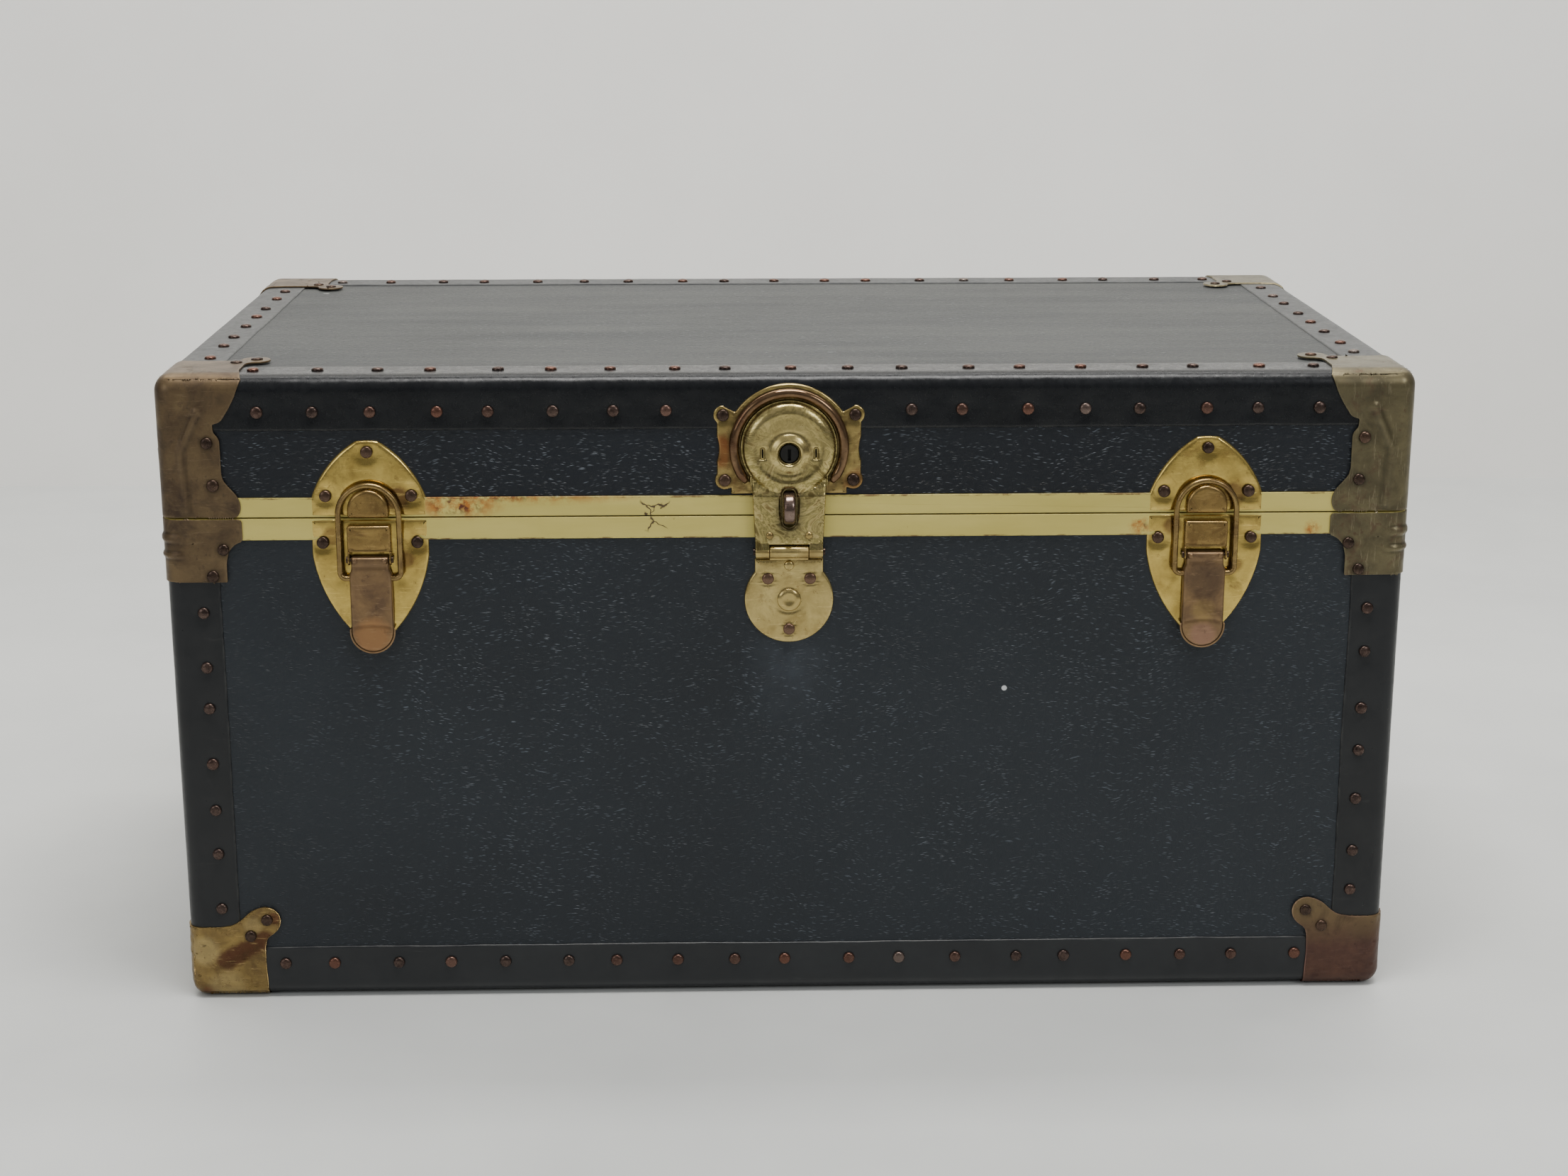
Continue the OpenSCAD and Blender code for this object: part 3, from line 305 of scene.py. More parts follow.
def plated_material(name, bright, dull, spots, spot_amount, rough, metal=0.9, scratches=0.35, shade_grime=0.5,
                    grain=FINE_SCRATCHES, tinted_patches=(), high_tone=None):
    """Plated sheet metal that dulls in clouds, with dark spots, fine scratches, and grime with painted shade
    in the hollows and gaps.

    Each tinted patch is (centre in mm, radius, colour, amount): mostly stains, though the front left foot's
    pale ones are painted highlights.
    high_tone is (colour, low height, high height, amount).
    """
    s = Shade(name)
    clouds = s.noise(55, 5, 0.65, 0.4)
    tone = s.ramp(clouds, [(0.34, dull), (0.66, bright)])
    if high_tone:
        colour, low, high, amount = high_tone
        climb = s.math("ADD", s.part("Z"), s.times(s.noise(70, 4), 0.012))
        climb = s.math("DIVIDE", s.math("SUBTRACT", climb, low * MM), (high - low) * MM, clamp=True)
        tone = s.mix(s.times(climb, amount), tone, colour)
    # Stains, and on the front left foot painted highlights.
    for centre, radius, colour, amount in tinted_patches:
        edge = s.math("ADD", s.near(centre, radius), s.times(s.noise(95, 4, 0.7), 0.5))
        tone = s.mix(s.times(s.rise(edge, 0.42, 0.75), amount), tone, colour)
    specks = s.rise(s.noise(210, 4, 0.7), 0.60, 0.70)
    blots = s.rise(s.noise(34, 4, 0.7, 0.8), 0.56, 0.68)
    marks = s.math("MAXIMUM", s.times(specks, 0.7), s.times(blots, 0.8))
    tone = s.mix(s.times(marks, spot_amount), tone, spots)
    hairs = s.noise(75, 3, 0.7, vector=s.moved(*grain))
    lines = s.ramp(hairs, [(0.60, 0.0), (0.66, 1.0), (0.70, 0.0)])
    tone = s.mix(s.times(lines, scratches), tone, tuple(min(1.0, v * 1.5 + 0.04) for v in bright))
    # Painted shade and grime: darker in hollows, round rivets and in gaps between parts, where shade falls.
    hollow = s.attribute("hollow")
    tone = s.mix(s.times(hollow, shade_grime), tone, tuple(v * 0.35 for v in dull))
    # Lighter rubbed edges, and a painted highlight on the corner caps' rib crests.
    rub_and_highlight = s.times(s.attribute("edge"), s.ramp(s.noise(120, 3), [(0.35, 0.3), (0.65, 1.0)]))
    tone = s.mix(s.times(rub_and_highlight, 0.5), tone, tuple(min(1.0, v * 1.35 + 0.02) for v in bright))
    shine = s.math("ADD", s.times(clouds, -0.22), rough + 0.11)
    shine = s.math("ADD", shine, s.times(marks, 0.22), clamp=True)
    fine = s.bump(s.noise(420, 3), 0.00006, 0.5, s.soft_edges(0.0006))
    normal = s.bump(s.noise(45, 3, 0.5), 0.0009, 0.5, fine)
    return s.finish(tone, shine, metal, normal)


def rim_material():
    s = Shade("rim_cream")
    clouds = s.noise(20, 4, 0.6, vector=s.moved((0.6, 0.6, 3)))
    tone = s.ramp(clouds, [(0.3, (0.52, 0.435, 0.112)), (0.7, (0.61, 0.515, 0.15))])
    rust = s.math("MAXIMUM", s.near((-212, -215, 338), 26, (0.75, 1, 2.4)),
                  s.near((226, -215, 322), 9, (1, 1, 1.2)))
    rust = s.math("MAXIMUM", rust, s.near((338, -215, 320), 7, (1, 1, 1)))
    rust = s.math("MAXIMUM", rust, s.times(s.near((-190, -215, 344), 70, (0.6, 1, 9)), 0.8))
    speckle = s.rise(s.noise(110, 5, 0.7), 0.42, 0.6)
    tone = s.mix(s.times(s.rise(rust, 0.05, 0.6), speckle), tone, (0.42, 0.15, 0.02))
    core = s.times(s.rise(rust, 0.35, 0.8), s.rise(s.noise(230, 4), 0.5, 0.6))
    tone = s.mix(core, tone, (0.10, 0.022, 0.01))
    band = s.part("Z")
    low = s.math("GREATER_THAN", band, (SEAM + 11.4) * MM)
    foot = s.math("LESS_THAN", band, (BODY_TOP - 13.2) * MM)
    lips = s.math("MAXIMUM", low, foot)
    flecks = s.rise(s.noise(95, 5, 0.75, vector=s.moved((0.5, 0.5, 1))), 0.48, 0.6)
    tone = s.mix(s.times(s.times(lips, flecks), 0.8), tone, (0.12, 0.05, 0.02))
    dots = s.rise(s.noise(160, 4, 0.75), 0.70, 0.76)
    tone = s.mix(s.times(dots, 0.7), tone, (0.16, 0.08, 0.03))
    crack = s.cells(26, "DISTANCE_TO_EDGE", vector=s.mix(0.02, s.coord, s.noise(60, 3, colour=True), "ADD"))
    crack = s.times(s.fall(crack, 0.006, 0.014), s.rise(s.near((-86, -215, 332), 15), 0.1, 0.3))
    tone = s.mix(crack, tone, (0.07, 0.04, 0.02))
    normal = s.bump(s.noise(40, 3), 0.0008, 0.35, s.soft_edges(0.0008))
    return s.finish(tone, s.ramp(clouds, [(0.3, 0.30), (0.7, 0.42)]), 0.25, normal)


def steel_material(name, low, high, ruddy, rough=0.34, metal=0.75):
    s = Shade(name)
    tint = s.attribute("tone")
    rust = s.ramp(s.noise(330, 4, 0.7), [(0.35, low), (0.7, high)])
    rosy = s.mix(s.ramp(tint, [(0.2, 0.0), (0.75, 0.8)]), rust, ruddy)
    grey = s.mix(s.ramp(tint, [(0.86, 0.0), (0.95, 0.7)]), rosy, (0.13, 0.12, 0.108))
    pits = s.noise(700, 3, 0.6)
    return s.finish(grey, s.ramp(pits, [(0.3, rough), (0.7, rough + 0.14)]), metal,
                    s.bump(pits, 0.00005, 0.4))


def hasp_material():
    s = Shade("hasp_patina")
    swirl = s.noise(42, 4, 0.6, 3.2)
    bands = s.ramp(swirl, [(0.36, (0.17, 0.13, 0.045)), (0.45, (0.46, 0.375, 0.15)),
                           (0.51, (0.22, 0.18, 0.062)), (0.59, (0.52, 0.42, 0.18)),
                           (0.68, (0.22, 0.16, 0.06))])
    bright = s.ramp(s.noise(30, 3), [(0.3, (0.42, 0.325, 0.12)), (0.7, (0.60, 0.48, 0.20))])
    mixed = s.mix(s.times(s.near((0, -224, 380), 30), 0.9), bands, bright)
    scr = s.ramp(s.noise(90, 3, 0.7, vector=s.moved((1, 1, 7), (0, 0.7, 0))),
                 [(0.60, 0.0), (0.65, 1.0), (0.69, 0.0)])
    mixed = s.mix(s.times(scr, 0.4), mixed, (0.55, 0.47, 0.25))
    dark = s.rise(s.noise(70, 5, 0.7), 0.58, 0.7)
    mixed = s.mix(s.times(dark, 0.5), mixed, (0.13, 0.09, 0.05))
    pool = s.times(s.near((0, -224, 334), 15, (1, 1, 0.6)), 0.85)
    mixed = s.mix(s.ramp(pool, [(0.15, 0.0), (0.6, 0.75)]), mixed, (0.085, 0.075, 0.045))
    # Painted shade and grime in the pressing's hollows, holes and slits.
    mixed = s.mix(s.times(s.attribute("hollow"), 0.6), mixed, (0.05, 0.035, 0.02))
    normal = s.bump(s.noise(60, 3), 0.0005, 0.4, s.soft_edges(0.0006))
    rough = s.ramp(swirl, [(0.35, 0.30), (0.65, 0.17)])
    return s.finish(mixed, rough, 0.95, normal)


def leather_material():
    s = Shade("handle_leather")
    pores = s.cells(900, "F1")
    folds = s.noise(120, 4, 0.6, 1.0)
    tone = s.ramp(s.noise(35, 4, 0.6), [(0.3, (0.035, 0.014, 0.007)), (0.7, (0.10, 0.042, 0.019))])
    tone = s.mix(s.times(s.attribute("edge"), 0.7), tone, (0.03, 0.014, 0.008))
    height = s.math("ADD", s.times(pores, 0.5), folds)
    return s.finish(tone, s.ramp(folds, [(0.3, 0.36), (0.7, 0.56)]), 0.0, s.bump(height, 0.0004, 0.6),
                    coat=0.1)


def thread_material():
    s = Shade("waxed_thread")
    twist = s.noise(1500, 2)
    tone = s.ramp(twist, [(0.3, (0.20, 0.14, 0.07)), (0.7, (0.36, 0.27, 0.15))])
    return s.finish(tone, 0.6, 0.0, s.bump(twist, 0.0002, 0.6))


def lining_material():
    s = Shade("printed_paper")
    diamonds = s.cells(34, "DISTANCE_TO_EDGE", vector=s.moved((1, 1, 1), (0.6, 0.6, 0.785)), random=0.0)
    print_line = s.fall(diamonds, 0.02, 0.05)
    tone = s.ramp(s.noise(12, 5, 0.65), [(0.3, (0.36, 0.27, 0.16)), (0.7, (0.52, 0.42, 0.28))])
    tone = s.mix(s.times(print_line, 0.45), tone, (0.20, 0.12, 0.07))
    tinted_patches = s.ramp(s.noise(6, 4, 0.7), [(0.55, 0.0), (0.75, 0.6)])
    tone = s.mix(tinted_patches, tone, (0.22, 0.14, 0.07))
    return s.finish(tone, s.ramp(s.noise(40, 3), [(0.3, 0.7), (0.7, 0.86)]), 0.0,
                    s.bump(s.noise(300, 4), 0.0003, 0.4))


LATCH_STAINS = [
    ((-250, -216, 343), 13, (0.10, 0.045, 0.02), 0.85), ((-246, -216, 303), 9, (0.12, 0.055, 0.022), 0.7),
    ((-292, -216, 318), 9, (0.13, 0.06, 0.025), 0.6), ((286, -216, 343), 11, (0.11, 0.05, 0.022), 0.75),
    ((247, -216, 322), 9, (0.12, 0.055, 0.025), 0.7), ((288, -216, 296), 8, (0.13, 0.06, 0.025), 0.6),
]
LEVER_STAINS = [
    ((-268, -222.5, 254), 17, (0.30, 0.155, 0.065), 0.8),
    ((268, -222.5, 286), 17, (0.062, 0.04, 0.028), 0.55),
    ((268, -222.5, 267), 11, (0.27, 0.18, 0.07), 0.7), ((268, -222.5, 251), 12, (0.27, 0.15, 0.10), 0.8),
]
KEEPER_STAINS = [
    ((-44, -216, 372), 16, (0.20, 0.055, 0.02), 0.75), ((44, -216, 352), 13, (0.16, 0.06, 0.025), 0.7),
]
# The pale foot patches in this tone are painted highlights on the crumples and the bottom crease. The other
# foot patches are rust stains.
PAINTED_HIGHLIGHT_TONE = (0.62, 0.50, 0.24)
FOOT_STAINS_AND_HIGHLIGHTS = [((-376 + 6.5 * k, -216, 27 + 3.6 * k), 10, (0.085, 0.036, 0.018), 0.92) for k in range(5)] + [
    ((-389, -216, 4), 7, (0.12, 0.05, 0.022), 0.8), ((-343, -216, 57), 6, (0.12, 0.05, 0.025), 0.8),
    ((-390, -216, 34), 15, PAINTED_HIGHLIGHT_TONE, 0.22), ((-376, -216, 8), 18, PAINTED_HIGHLIGHT_TONE, 0.18), ((-357, -216, 52), 9, PAINTED_HIGHLIGHT_TONE, 0.15),
]
M = {
    "cover": cover_material(),
    "cover_lid": lid_cover_material(),
    "top": top_material(),
    "fibre": fibre_material("fibre_black", 0.06, 0.28),
    "fibre_upright": fibre_material("fibre_upright", 0.05, 0.26, (0.0035, 0.0042, 0.0052),
                                    (0.008, 0.009, 0.0105), 0.33),
    "fibre_lid": fibre_material("fibre_lid", 0.03, 0.20, (0.0025, 0.003, 0.004), (0.006, 0.007, 0.0085),
                                0.28),
    "fibre_side": fibre_material("fibre_dusty", 0.55, 0.38, (0.007, 0.009, 0.012), (0.017, 0.02, 0.023), 0.5),
    "rim": rim_material(),
    "brass": plated_material("brass_yellow", (0.62, 0.455, 0.125), (0.37, 0.255, 0.065), (0.10, 0.042, 0.018),
                             0.5, 0.16, tinted_patches=LATCH_STAINS),
    "lever": plated_material("lever_brown", (0.24, 0.15, 0.07), (0.13, 0.08, 0.045), (0.05, 0.027, 0.02), 0.5,
                             0.36, 0.75, tinted_patches=LEVER_STAINS),
    "boss": plated_material("boss_brass", (0.34, 0.225, 0.075), (0.17, 0.105, 0.038), (0.07, 0.03, 0.015),
                            0.6, 0.25),
    "hinge": plated_material("hinge_brass", (0.25, 0.175, 0.07), (0.13, 0.09, 0.042), (0.05, 0.03, 0.02), 0.6,
                             0.38, 0.85),
    "bail": plated_material("bail_wire", (0.34, 0.235, 0.085), (0.16, 0.10, 0.042), (0.06, 0.03, 0.02), 0.5,
                            0.25),
    "cap": plated_material("cap_brown", (0.150, 0.102, 0.050), (0.073, 0.047, 0.026), (0.035, 0.022, 0.018),
                           0.6, 0.40, 0.66, 0.25, 0.65),
    "cap_green": plated_material("cap_green", (0.15, 0.125, 0.065), (0.075, 0.062, 0.034),
                                 (0.085, 0.032, 0.022), 0.7, 0.36, 0.66, 0.5, 0.6, DRAWN_STREAKS),
    "foot": plated_material("foot_brass", (0.27, 0.185, 0.062), (0.125, 0.08, 0.033), (0.06, 0.03, 0.018),
                            0.75, 0.25, 0.84, 0.5, 0.6, tinted_patches=FOOT_STAINS_AND_HIGHLIGHTS),
    "foot_rear": plated_material("foot_dull", (0.24, 0.165, 0.065), (0.11, 0.075, 0.036),
                                 (0.05, 0.028, 0.018), 0.7, 0.38, 0.72, 0.4, 0.6),
    "foot_red": plated_material("foot_red", (0.092, 0.043, 0.027), (0.055, 0.025, 0.018),
                                (0.032, 0.015, 0.013), 0.5, 0.44, 0.55, 0.18, 0.4,
                                high_tone=((0.15, 0.105, 0.045), 36, 60, 0.8)),
    "steel": steel_material("nail_steel", (0.033, 0.021, 0.018), (0.105, 0.070, 0.056), (0.135, 0.060, 0.040),
                            0.22, 0.8),
    "rivet": steel_material("rivet_steel", (0.026, 0.016, 0.012), (0.075, 0.047, 0.033), (0.17, 0.098, 0.062),
                            0.22, 0.8),
    "ring": plated_material("guard_ring", (0.19, 0.118, 0.062), (0.10, 0.05, 0.027), (0.06, 0.024, 0.016),
                            0.7, 0.14),
    "staple": plated_material("staple_steel", (0.27, 0.20, 0.165), (0.12, 0.075, 0.058), (0.07, 0.04, 0.03),
                              0.5, 0.22, 0.95),
    "hasp": hasp_material(),
    "base": plated_material("base_plate_brass", (0.54, 0.425, 0.17), (0.34, 0.25, 0.09), (0.15, 0.07, 0.03),
                            0.4, 0.21),
    "keeper": plated_material("lock_plate_brass", (0.42, 0.315, 0.11), (0.21, 0.145, 0.055),
                              (0.10, 0.04, 0.02), 0.8, 0.22, shade_grime=0.95, tinted_patches=KEEPER_STAINS),
    # Near black: painted shade for the lock barrel in the keyhole and the prongs seen through the slits.
    "painted_shade_black": plated_material("painted_shade_black_metal", (0.006, 0.005, 0.004), (0.003, 0.003, 0.002),
                              (0.002, 0.002, 0.002), 0.5, 0.75, 0.1, 0.05),
    "leather": leather_material(),
    "thread": thread_material(),
    "lining": lining_material(),
}


# ---- Mesh helpers: shapes are drawn in mm, and land in metres ----

def placed(name, data):
    obj = bpy.data.objects.new(name, data)
    bpy.context.scene.collection.objects.link(obj)
    return obj


def marked(mesh, attributes):
    """Writes a value per vertex under each key, for the materials to read."""
    for key, values in attributes.items():
        layer = mesh.attributes.new(key, "FLOAT", "POINT")
        layer.data.foreach_set("value", np.asarray(values, np.float32))


def build(name, verts, faces, material, body, replaces=(), attributes=None):
    mesh = bpy.data.meshes.new(name)
    mesh.from_pydata([tuple(Vector(v) * MM) for v in verts], [], faces)
    marked(mesh, attributes or {})
    mesh.validate()
    return settle(placed(name, mesh), material, body, replaces)


def settle(obj, material, body, replaces=()):
    obj.data.materials.clear()
    obj.data.materials.append(M[material])
    obj.data.polygons.foreach_set("use_smooth", [True] * len(obj.data.polygons))
    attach(obj, body)
    if replaces:
        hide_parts(*replaces)
    return obj


def outward(obj):
    """Makes the faces of a closed or open mesh agree in direction."""
    bm = bmesh.new()
    bm.from_mesh(obj.data)
    bmesh.ops.recalc_face_normals(bm, faces=bm.faces)
    bm.to_mesh(obj.data)
    bm.free()
    return obj


def evaluated(obj):
    """A new mesh of an object as it stands after its modifiers."""
    bpy.context.view_layer.update()
    graph = bpy.context.evaluated_depsgraph_get()
    return bpy.data.meshes.new_from_object(obj.evaluated_get(graph), depsgraph=graph)


def modified(obj, *steps):
    """Applies modifiers given as (kind, settings)."""
    for kind, settings in steps:
        m = obj.modifiers.new(kind, kind)
        for key, value in settings.items():
            setattr(m, key, value)
    mesh = evaluated(obj)
    obj.modifiers.clear()
    obj.data = mesh
    mesh.polygons.foreach_set("use_smooth", [True] * len(mesh.polygons))
    return obj


def bevel_of(width, degrees):
    """The settings of a bevel in mm on edges sharper than an angle."""
    settings = {"width": width * MM, "segments": 2, "limit_method": "ANGLE",
                "angle_limit": math.radians(degrees)}
    return "BEVEL", settings


def sharp_by_angle(obj, degrees):
    mesh = obj.data
    bm = bmesh.new()
    bm.from_mesh(mesh)
    limit = math.radians(degrees)
    for e in bm.edges:
        e.smooth = not (len(e.link_faces) == 2 and e.calc_face_angle(0.0) > limit)
    bm.to_mesh(mesh)
    bm.free()
    return obj


def arc(cx, cz, r, start, end, count):
    return [(cx + r * math.cos(math.radians(a)), cz + r * math.sin(math.radians(a)))
            for a in np.linspace(start, end, count)]


def dense(points, step):
    """The same closed line with points no further apart than a step."""
    out = []
    for p, q in zip(points, points[1:] + points[:1]):
        n = max(1, math.ceil(math.dist(p, q) / step))
        out += [tuple(p[i] + (q[i] - p[i]) * k / n for i in range(2)) for k in range(n)]
    return out


def rounded_line(points, radius):
    """A closed outline whose corners are rounded off by one radius, or by one for each point."""
    out = []
    n = len(points)
    count = 5
    for i, p in enumerate(points):
        a, b = Vector(points[i - 1]), Vector(points[(i + 1) % n])
        p = Vector(p)
        r = radius[i] if hasattr(radius, "__len__") else radius
        u, v = (a - p), (b - p)
        cut = min(r, u.length * 0.45, v.length * 0.45)
        if cut < 0.05:
            out.append(tuple(p))
            continue
        u, v = p + u.normalized() * cut, p + v.normalized() * cut
        for k in range(count + 1):
            t = k / count
            out.append(tuple((1 - t) ** 2 * u + 2 * t * (1 - t) * p + t * t * v))
    return out


def inset(outline, amount):
    """The outline moved inward by its own normals."""
    p = np.array(outline, float)
    before, after = np.roll(p, 1, 0), np.roll(p, -1, 0)
    d1 = p - before
    d2 = after - p
    d1 /= np.maximum(np.linalg.norm(d1, axis=1, keepdims=True), 1e-9)
    d2 /= np.maximum(np.linalg.norm(d2, axis=1, keepdims=True), 1e-9)
    n = np.stack([-(d1 + d2)[:, 1], (d1 + d2)[:, 0]], 1)
    n /= np.maximum(np.linalg.norm(n, axis=1, keepdims=True), 1e-9)
    area = 0.5 * np.sum(p[:, 0] * after[:, 1] - after[:, 0] * p[:, 1])
    cosine = np.clip(np.sum(n * np.stack([-d1[:, 1], d1[:, 0]], 1), axis=1), 0.6, 1)
    return [tuple(q) for q in p + n * (amount if area > 0 else -amount) / cosine[:, None]]


def filled(outline, holes=()):
    """A flat filled mesh, as vertices and faces, from an outline and its holes."""
    data = bpy.data.curves.new("fill", "CURVE")
    data.dimensions = "2D"
    data.fill_mode = "BOTH"
    for line in (outline, *holes):
        spline = data.splines.new("POLY")
        spline.points.add(len(line) - 1)
        for point, (x, y) in zip(spline.points, line):
            point.co = (x, y, 0, 1)
        spline.use_cyclic_u = True
    obj = placed("fill", data)
    mesh = evaluated(obj)
    bm = bmesh.new()
    bm.from_mesh(mesh)
    bpy.data.objects.remove(obj)
    bpy.data.curves.remove(data)
    bpy.data.meshes.remove(mesh)
    return bm


def gridded(bm, step):
    """Cuts a flat mesh along a square grid, so that it can be bent and dented."""
    xs = [v.co.x for v in bm.verts]
    ys = [v.co.y for v in bm.verts]
    for axis, values in ((0, xs), (1, ys)):
        k = math.floor(min(values) / step) + 1
        while k * step < max(values):
            at, normal = Vector((0, 0, 0)), Vector((0, 0, 0))
            at[axis], normal[axis] = k * step, 1
            geometry = bm.verts[:] + bm.edges[:] + bm.faces[:]
            bmesh.ops.bisect_plane(bm, geom=geometry, plane_co=at, plane_no=normal, dist=1e-4)
            k += 1
    return bm


def to_lines(points, lines):
    """The distance from each point to the nearest of some closed lines."""
    p = np.asarray(points, float)
    best = np.full(len(p), 1e9)
    for line in lines:
        a = np.array(line, float)
        b = np.roll(a, -1, 0)
        for i in range(0, len(p), 4000):
            q = p[i:i + 4000, None, :]
            ab = (b - a)[None]
            t = np.clip(np.sum((q - a[None]) * ab, 2) / np.maximum(np.sum(ab * ab, 2), 1e-9), 0, 1)
            d = np.linalg.norm(q - (a[None] + t[..., None] * ab), axis=2).min(1)
            best[i:i + 4000] = np.minimum(best[i:i + 4000], d)
    return best


def ridge(distance, width):
    """One at a distance of nought, falling away smoothly on both sides."""
    return np.exp(-(distance / width) ** 2)


def edge_of(distance, width):
    """One below a distance of nought and nothing above it, with a soft step of a width."""
    return 1 / (1 + np.exp(np.clip(distance / width, -30, 30)))


def ease(t):
    return t * t * (3 - 2 * t)


def wave(x, y, scale, seed):
    """Smooth pseudo-random height between -1 and 1."""
    x, y = np.asarray(x, float) / scale, np.asarray(y, float) / scale
    total = np.zeros_like(x + y)
    r = random.Random(seed)
    for octave in range(3):
        for _ in range(3):
            angle, phase = r.uniform(0, 6.283), r.uniform(0, 6.283)
            k = 2 ** octave
            total += np.sin((x * math.cos(angle) + y * math.sin(angle)) * k * 2 + phase) / (3 * k)
    return total / 1.4


def plate(name, outline, place, top, material, body, replaces=(), holes=(), round_r=1.0,
          base=0.0, step=4.0, relief=None, hollow=None, shell=0.0):
    """A pressed plate. Its edge rolls over by round_r, and relief raises its face."""
    lines = [dense(outline, 1.6)] + [dense(h, 1.0) for h in holes]
    offsets = [0.0, 0.13 * round_r, 0.36 * round_r, 0.66 * round_r, round_r, round_r + 1.2]
    bm = bmesh.new()
    inner = []
    for n, line in enumerate(lines):
        rings = [inset(line, o if n == 0 else -o) for o in (offsets if n == 0 else offsets[:3])]
        rows = [[bm.verts.new((*p, 0)) for p in ring] for ring in rings]
        for a, b in zip(rows, rows[1:]):
            for i in range(len(a)):
                j = (i + 1) % len(a)
                bm.faces.new((a[i], a[j], b[j], b[i]))
        inner.append(rings[-1])
    middle = filled(inner[0], inner[1:])
    lookup = [bm.verts.new(v.co) for v in middle.verts]
    middle.verts.index_update()
    for f in middle.faces:
        bm.faces.new([lookup[v.index] for v in f.verts])
    middle.free()
    bmesh.ops.remove_doubles(bm, verts=bm.verts, dist=0.004)
    gridded(bm, step)
    bmesh.ops.recalc_face_normals(bm, faces=bm.faces)
    if bm.faces and sum(f.normal.z for f in bm.faces) < 0:
        bmesh.ops.reverse_faces(bm, faces=bm.faces)
    flat = [(v.co.x, v.co.y) for v in bm.verts]
    gap = to_lines(flat, lines)
    roll = np.clip(round_r - gap, 0, round_r)
    height = top - round_r + np.sqrt(np.maximum(round_r ** 2 - roll ** 2, 0))
    x, z = np.array(flat).T
    if relief is not None:
        height = height + relief(x, z, gap)
    rims = [e for e in bm.edges if e.is_boundary]
    for v, h in zip(bm.verts, height):
        v.co.z = h
    wall = bmesh.ops.extrude_edge_only(bm, edges=rims)
    for v in wall["geom"]:
        if isinstance(v, bmesh.types.BMVert):
            v.co.z = float(base(v.co.x, v.co.y)) if callable(base) else base
    bmesh.ops.recalc_face_normals(bm, faces=bm.faces)
    if sum(f.normal.z * f.calc_area() for f in bm.faces) < 0:
        bmesh.ops.reverse_faces(bm, faces=bm.faces)
    mesh = bpy.data.meshes.new(name)
    bm.to_mesh(mesh)
    bm.free()
    co = np.array([v.co for v in mesh.vertices])
    edge = np.clip(1 - to_lines(co[:, :2], lines) / 1.6, 0, 1)
    dark = np.zeros(len(co)) if hollow is None else np.clip(hollow(co[:, 0], co[:, 1]), 0, 1)
    marked(mesh, {"edge": edge, "hollow": dark})
    for v in mesh.vertices:
        v.co = place(*v.co) * MM
    obj = placed(name, mesh)
    if shell:
        modified(obj, ("SOLIDIFY", {"thickness": shell * MM, "offset": -1.0}))
    settle(obj, material, body, replaces)
    return sharp_by_angle(obj, 50)


def flat_on(face, cx=0.0):
    """A placing function for a plate drawn about an upright line of a face."""
    return lambda x, z, out: on_face(face, cx + x, z, out)


def sweep(name, path, section, material, body, replaces=(), *, up):
    """Carries a closed section along a path in mm, with capped ends.

    The section is a list of (side, up) offsets, or a function of t that gives one.
    """
    path = [Vector(p) for p in path]
    n = len(path)
    verts, faces = [], []
    normal = Vector(up)
    for i, p in enumerate(path):
        t = (path[min(i + 1, n - 1)] - path[max(i - 1, 0)]).normalized()
        normal = (normal - t * normal.dot(t)).normalized()
        side = t.cross(normal)
        ring = section(i / max(1, n - 1)) if callable(section) else section
        count = len(ring)
        verts += [p + side * u + normal * v for u, v in ring]
    for start in range(0, (n - 1) * count, count):
        for k in range(count):
            j = (k + 1) % count
            faces.append((start + k, start + j, start + count + j, start + count + k))
    faces.append(tuple(range(count))[::-1])
    faces.append(tuple((n - 1) * count + k for k in range(count)))
    return outward(build(name, verts, faces, material, body, replaces))


def ring_section(r, count):
    turns = [2 * math.pi * k / count for k in range(count)]
    return [(r * math.cos(a), r * math.sin(a)) for a in turns]


def lathe(profile, centre, axis, count=32):
    """Vertices and faces of a profile of (radius, along) turned about an axis through a centre."""
    axis = Vector(axis).normalized()
    u = axis.orthogonal().normalized()
    v = axis.cross(u)
    verts, faces = [], []
    rows = []
    for r, h in profile:
        if r < 1e-6:
            rows.append([len(verts)])
            verts.append(Vector(centre) + axis * h)
            continue
        rows.append(list(range(len(verts), len(verts) + count)))
        for k in range(count):
            a = 2 * math.pi * k / count
            verts.append(Vector(centre) + axis * h + (u * math.cos(a) + v * math.sin(a)) * r)
    for a, b in zip(rows, rows[1:]):
        for k in range(count):
            j = (k + 1) % count
            if len(a) == 1:
                faces.append((a[0], b[k], b[j]))
            elif len(b) == 1:
                faces.append((a[k], b[0], a[j]))
            else:
                faces.append((a[k], b[k], b[j], a[j]))
    return verts, faces


def several(name, parts, material, body, replaces=(), attributes=None):
    """One object from many (vertices, faces)."""
    verts, faces = [], []
    for vs, fs in parts:
        n = len(verts)
        verts += vs
        faces += [tuple(i + n for i in f) for f in fs]
    return build(name, verts, faces, material, body, replaces, attributes)


def rod(a, b, r, bevel=0.4, count=24):
    """A short round bar with softened ends, from one point to another."""
    a, b = Vector(a), Vector(b)
    length = (b - a).length
    c = min(bevel, r * 0.6)
    profile = [(0, 0), (r - c, 0), (r - c * 0.3, c * 0.3), (r, c), (r, length - c),
               (r - c * 0.3, length - c * 0.3), (r - c, length), (0, length)]
    return lathe(profile, a, b - a, count)


# ---- Covers, linings and rims keep their CAD meshes ----

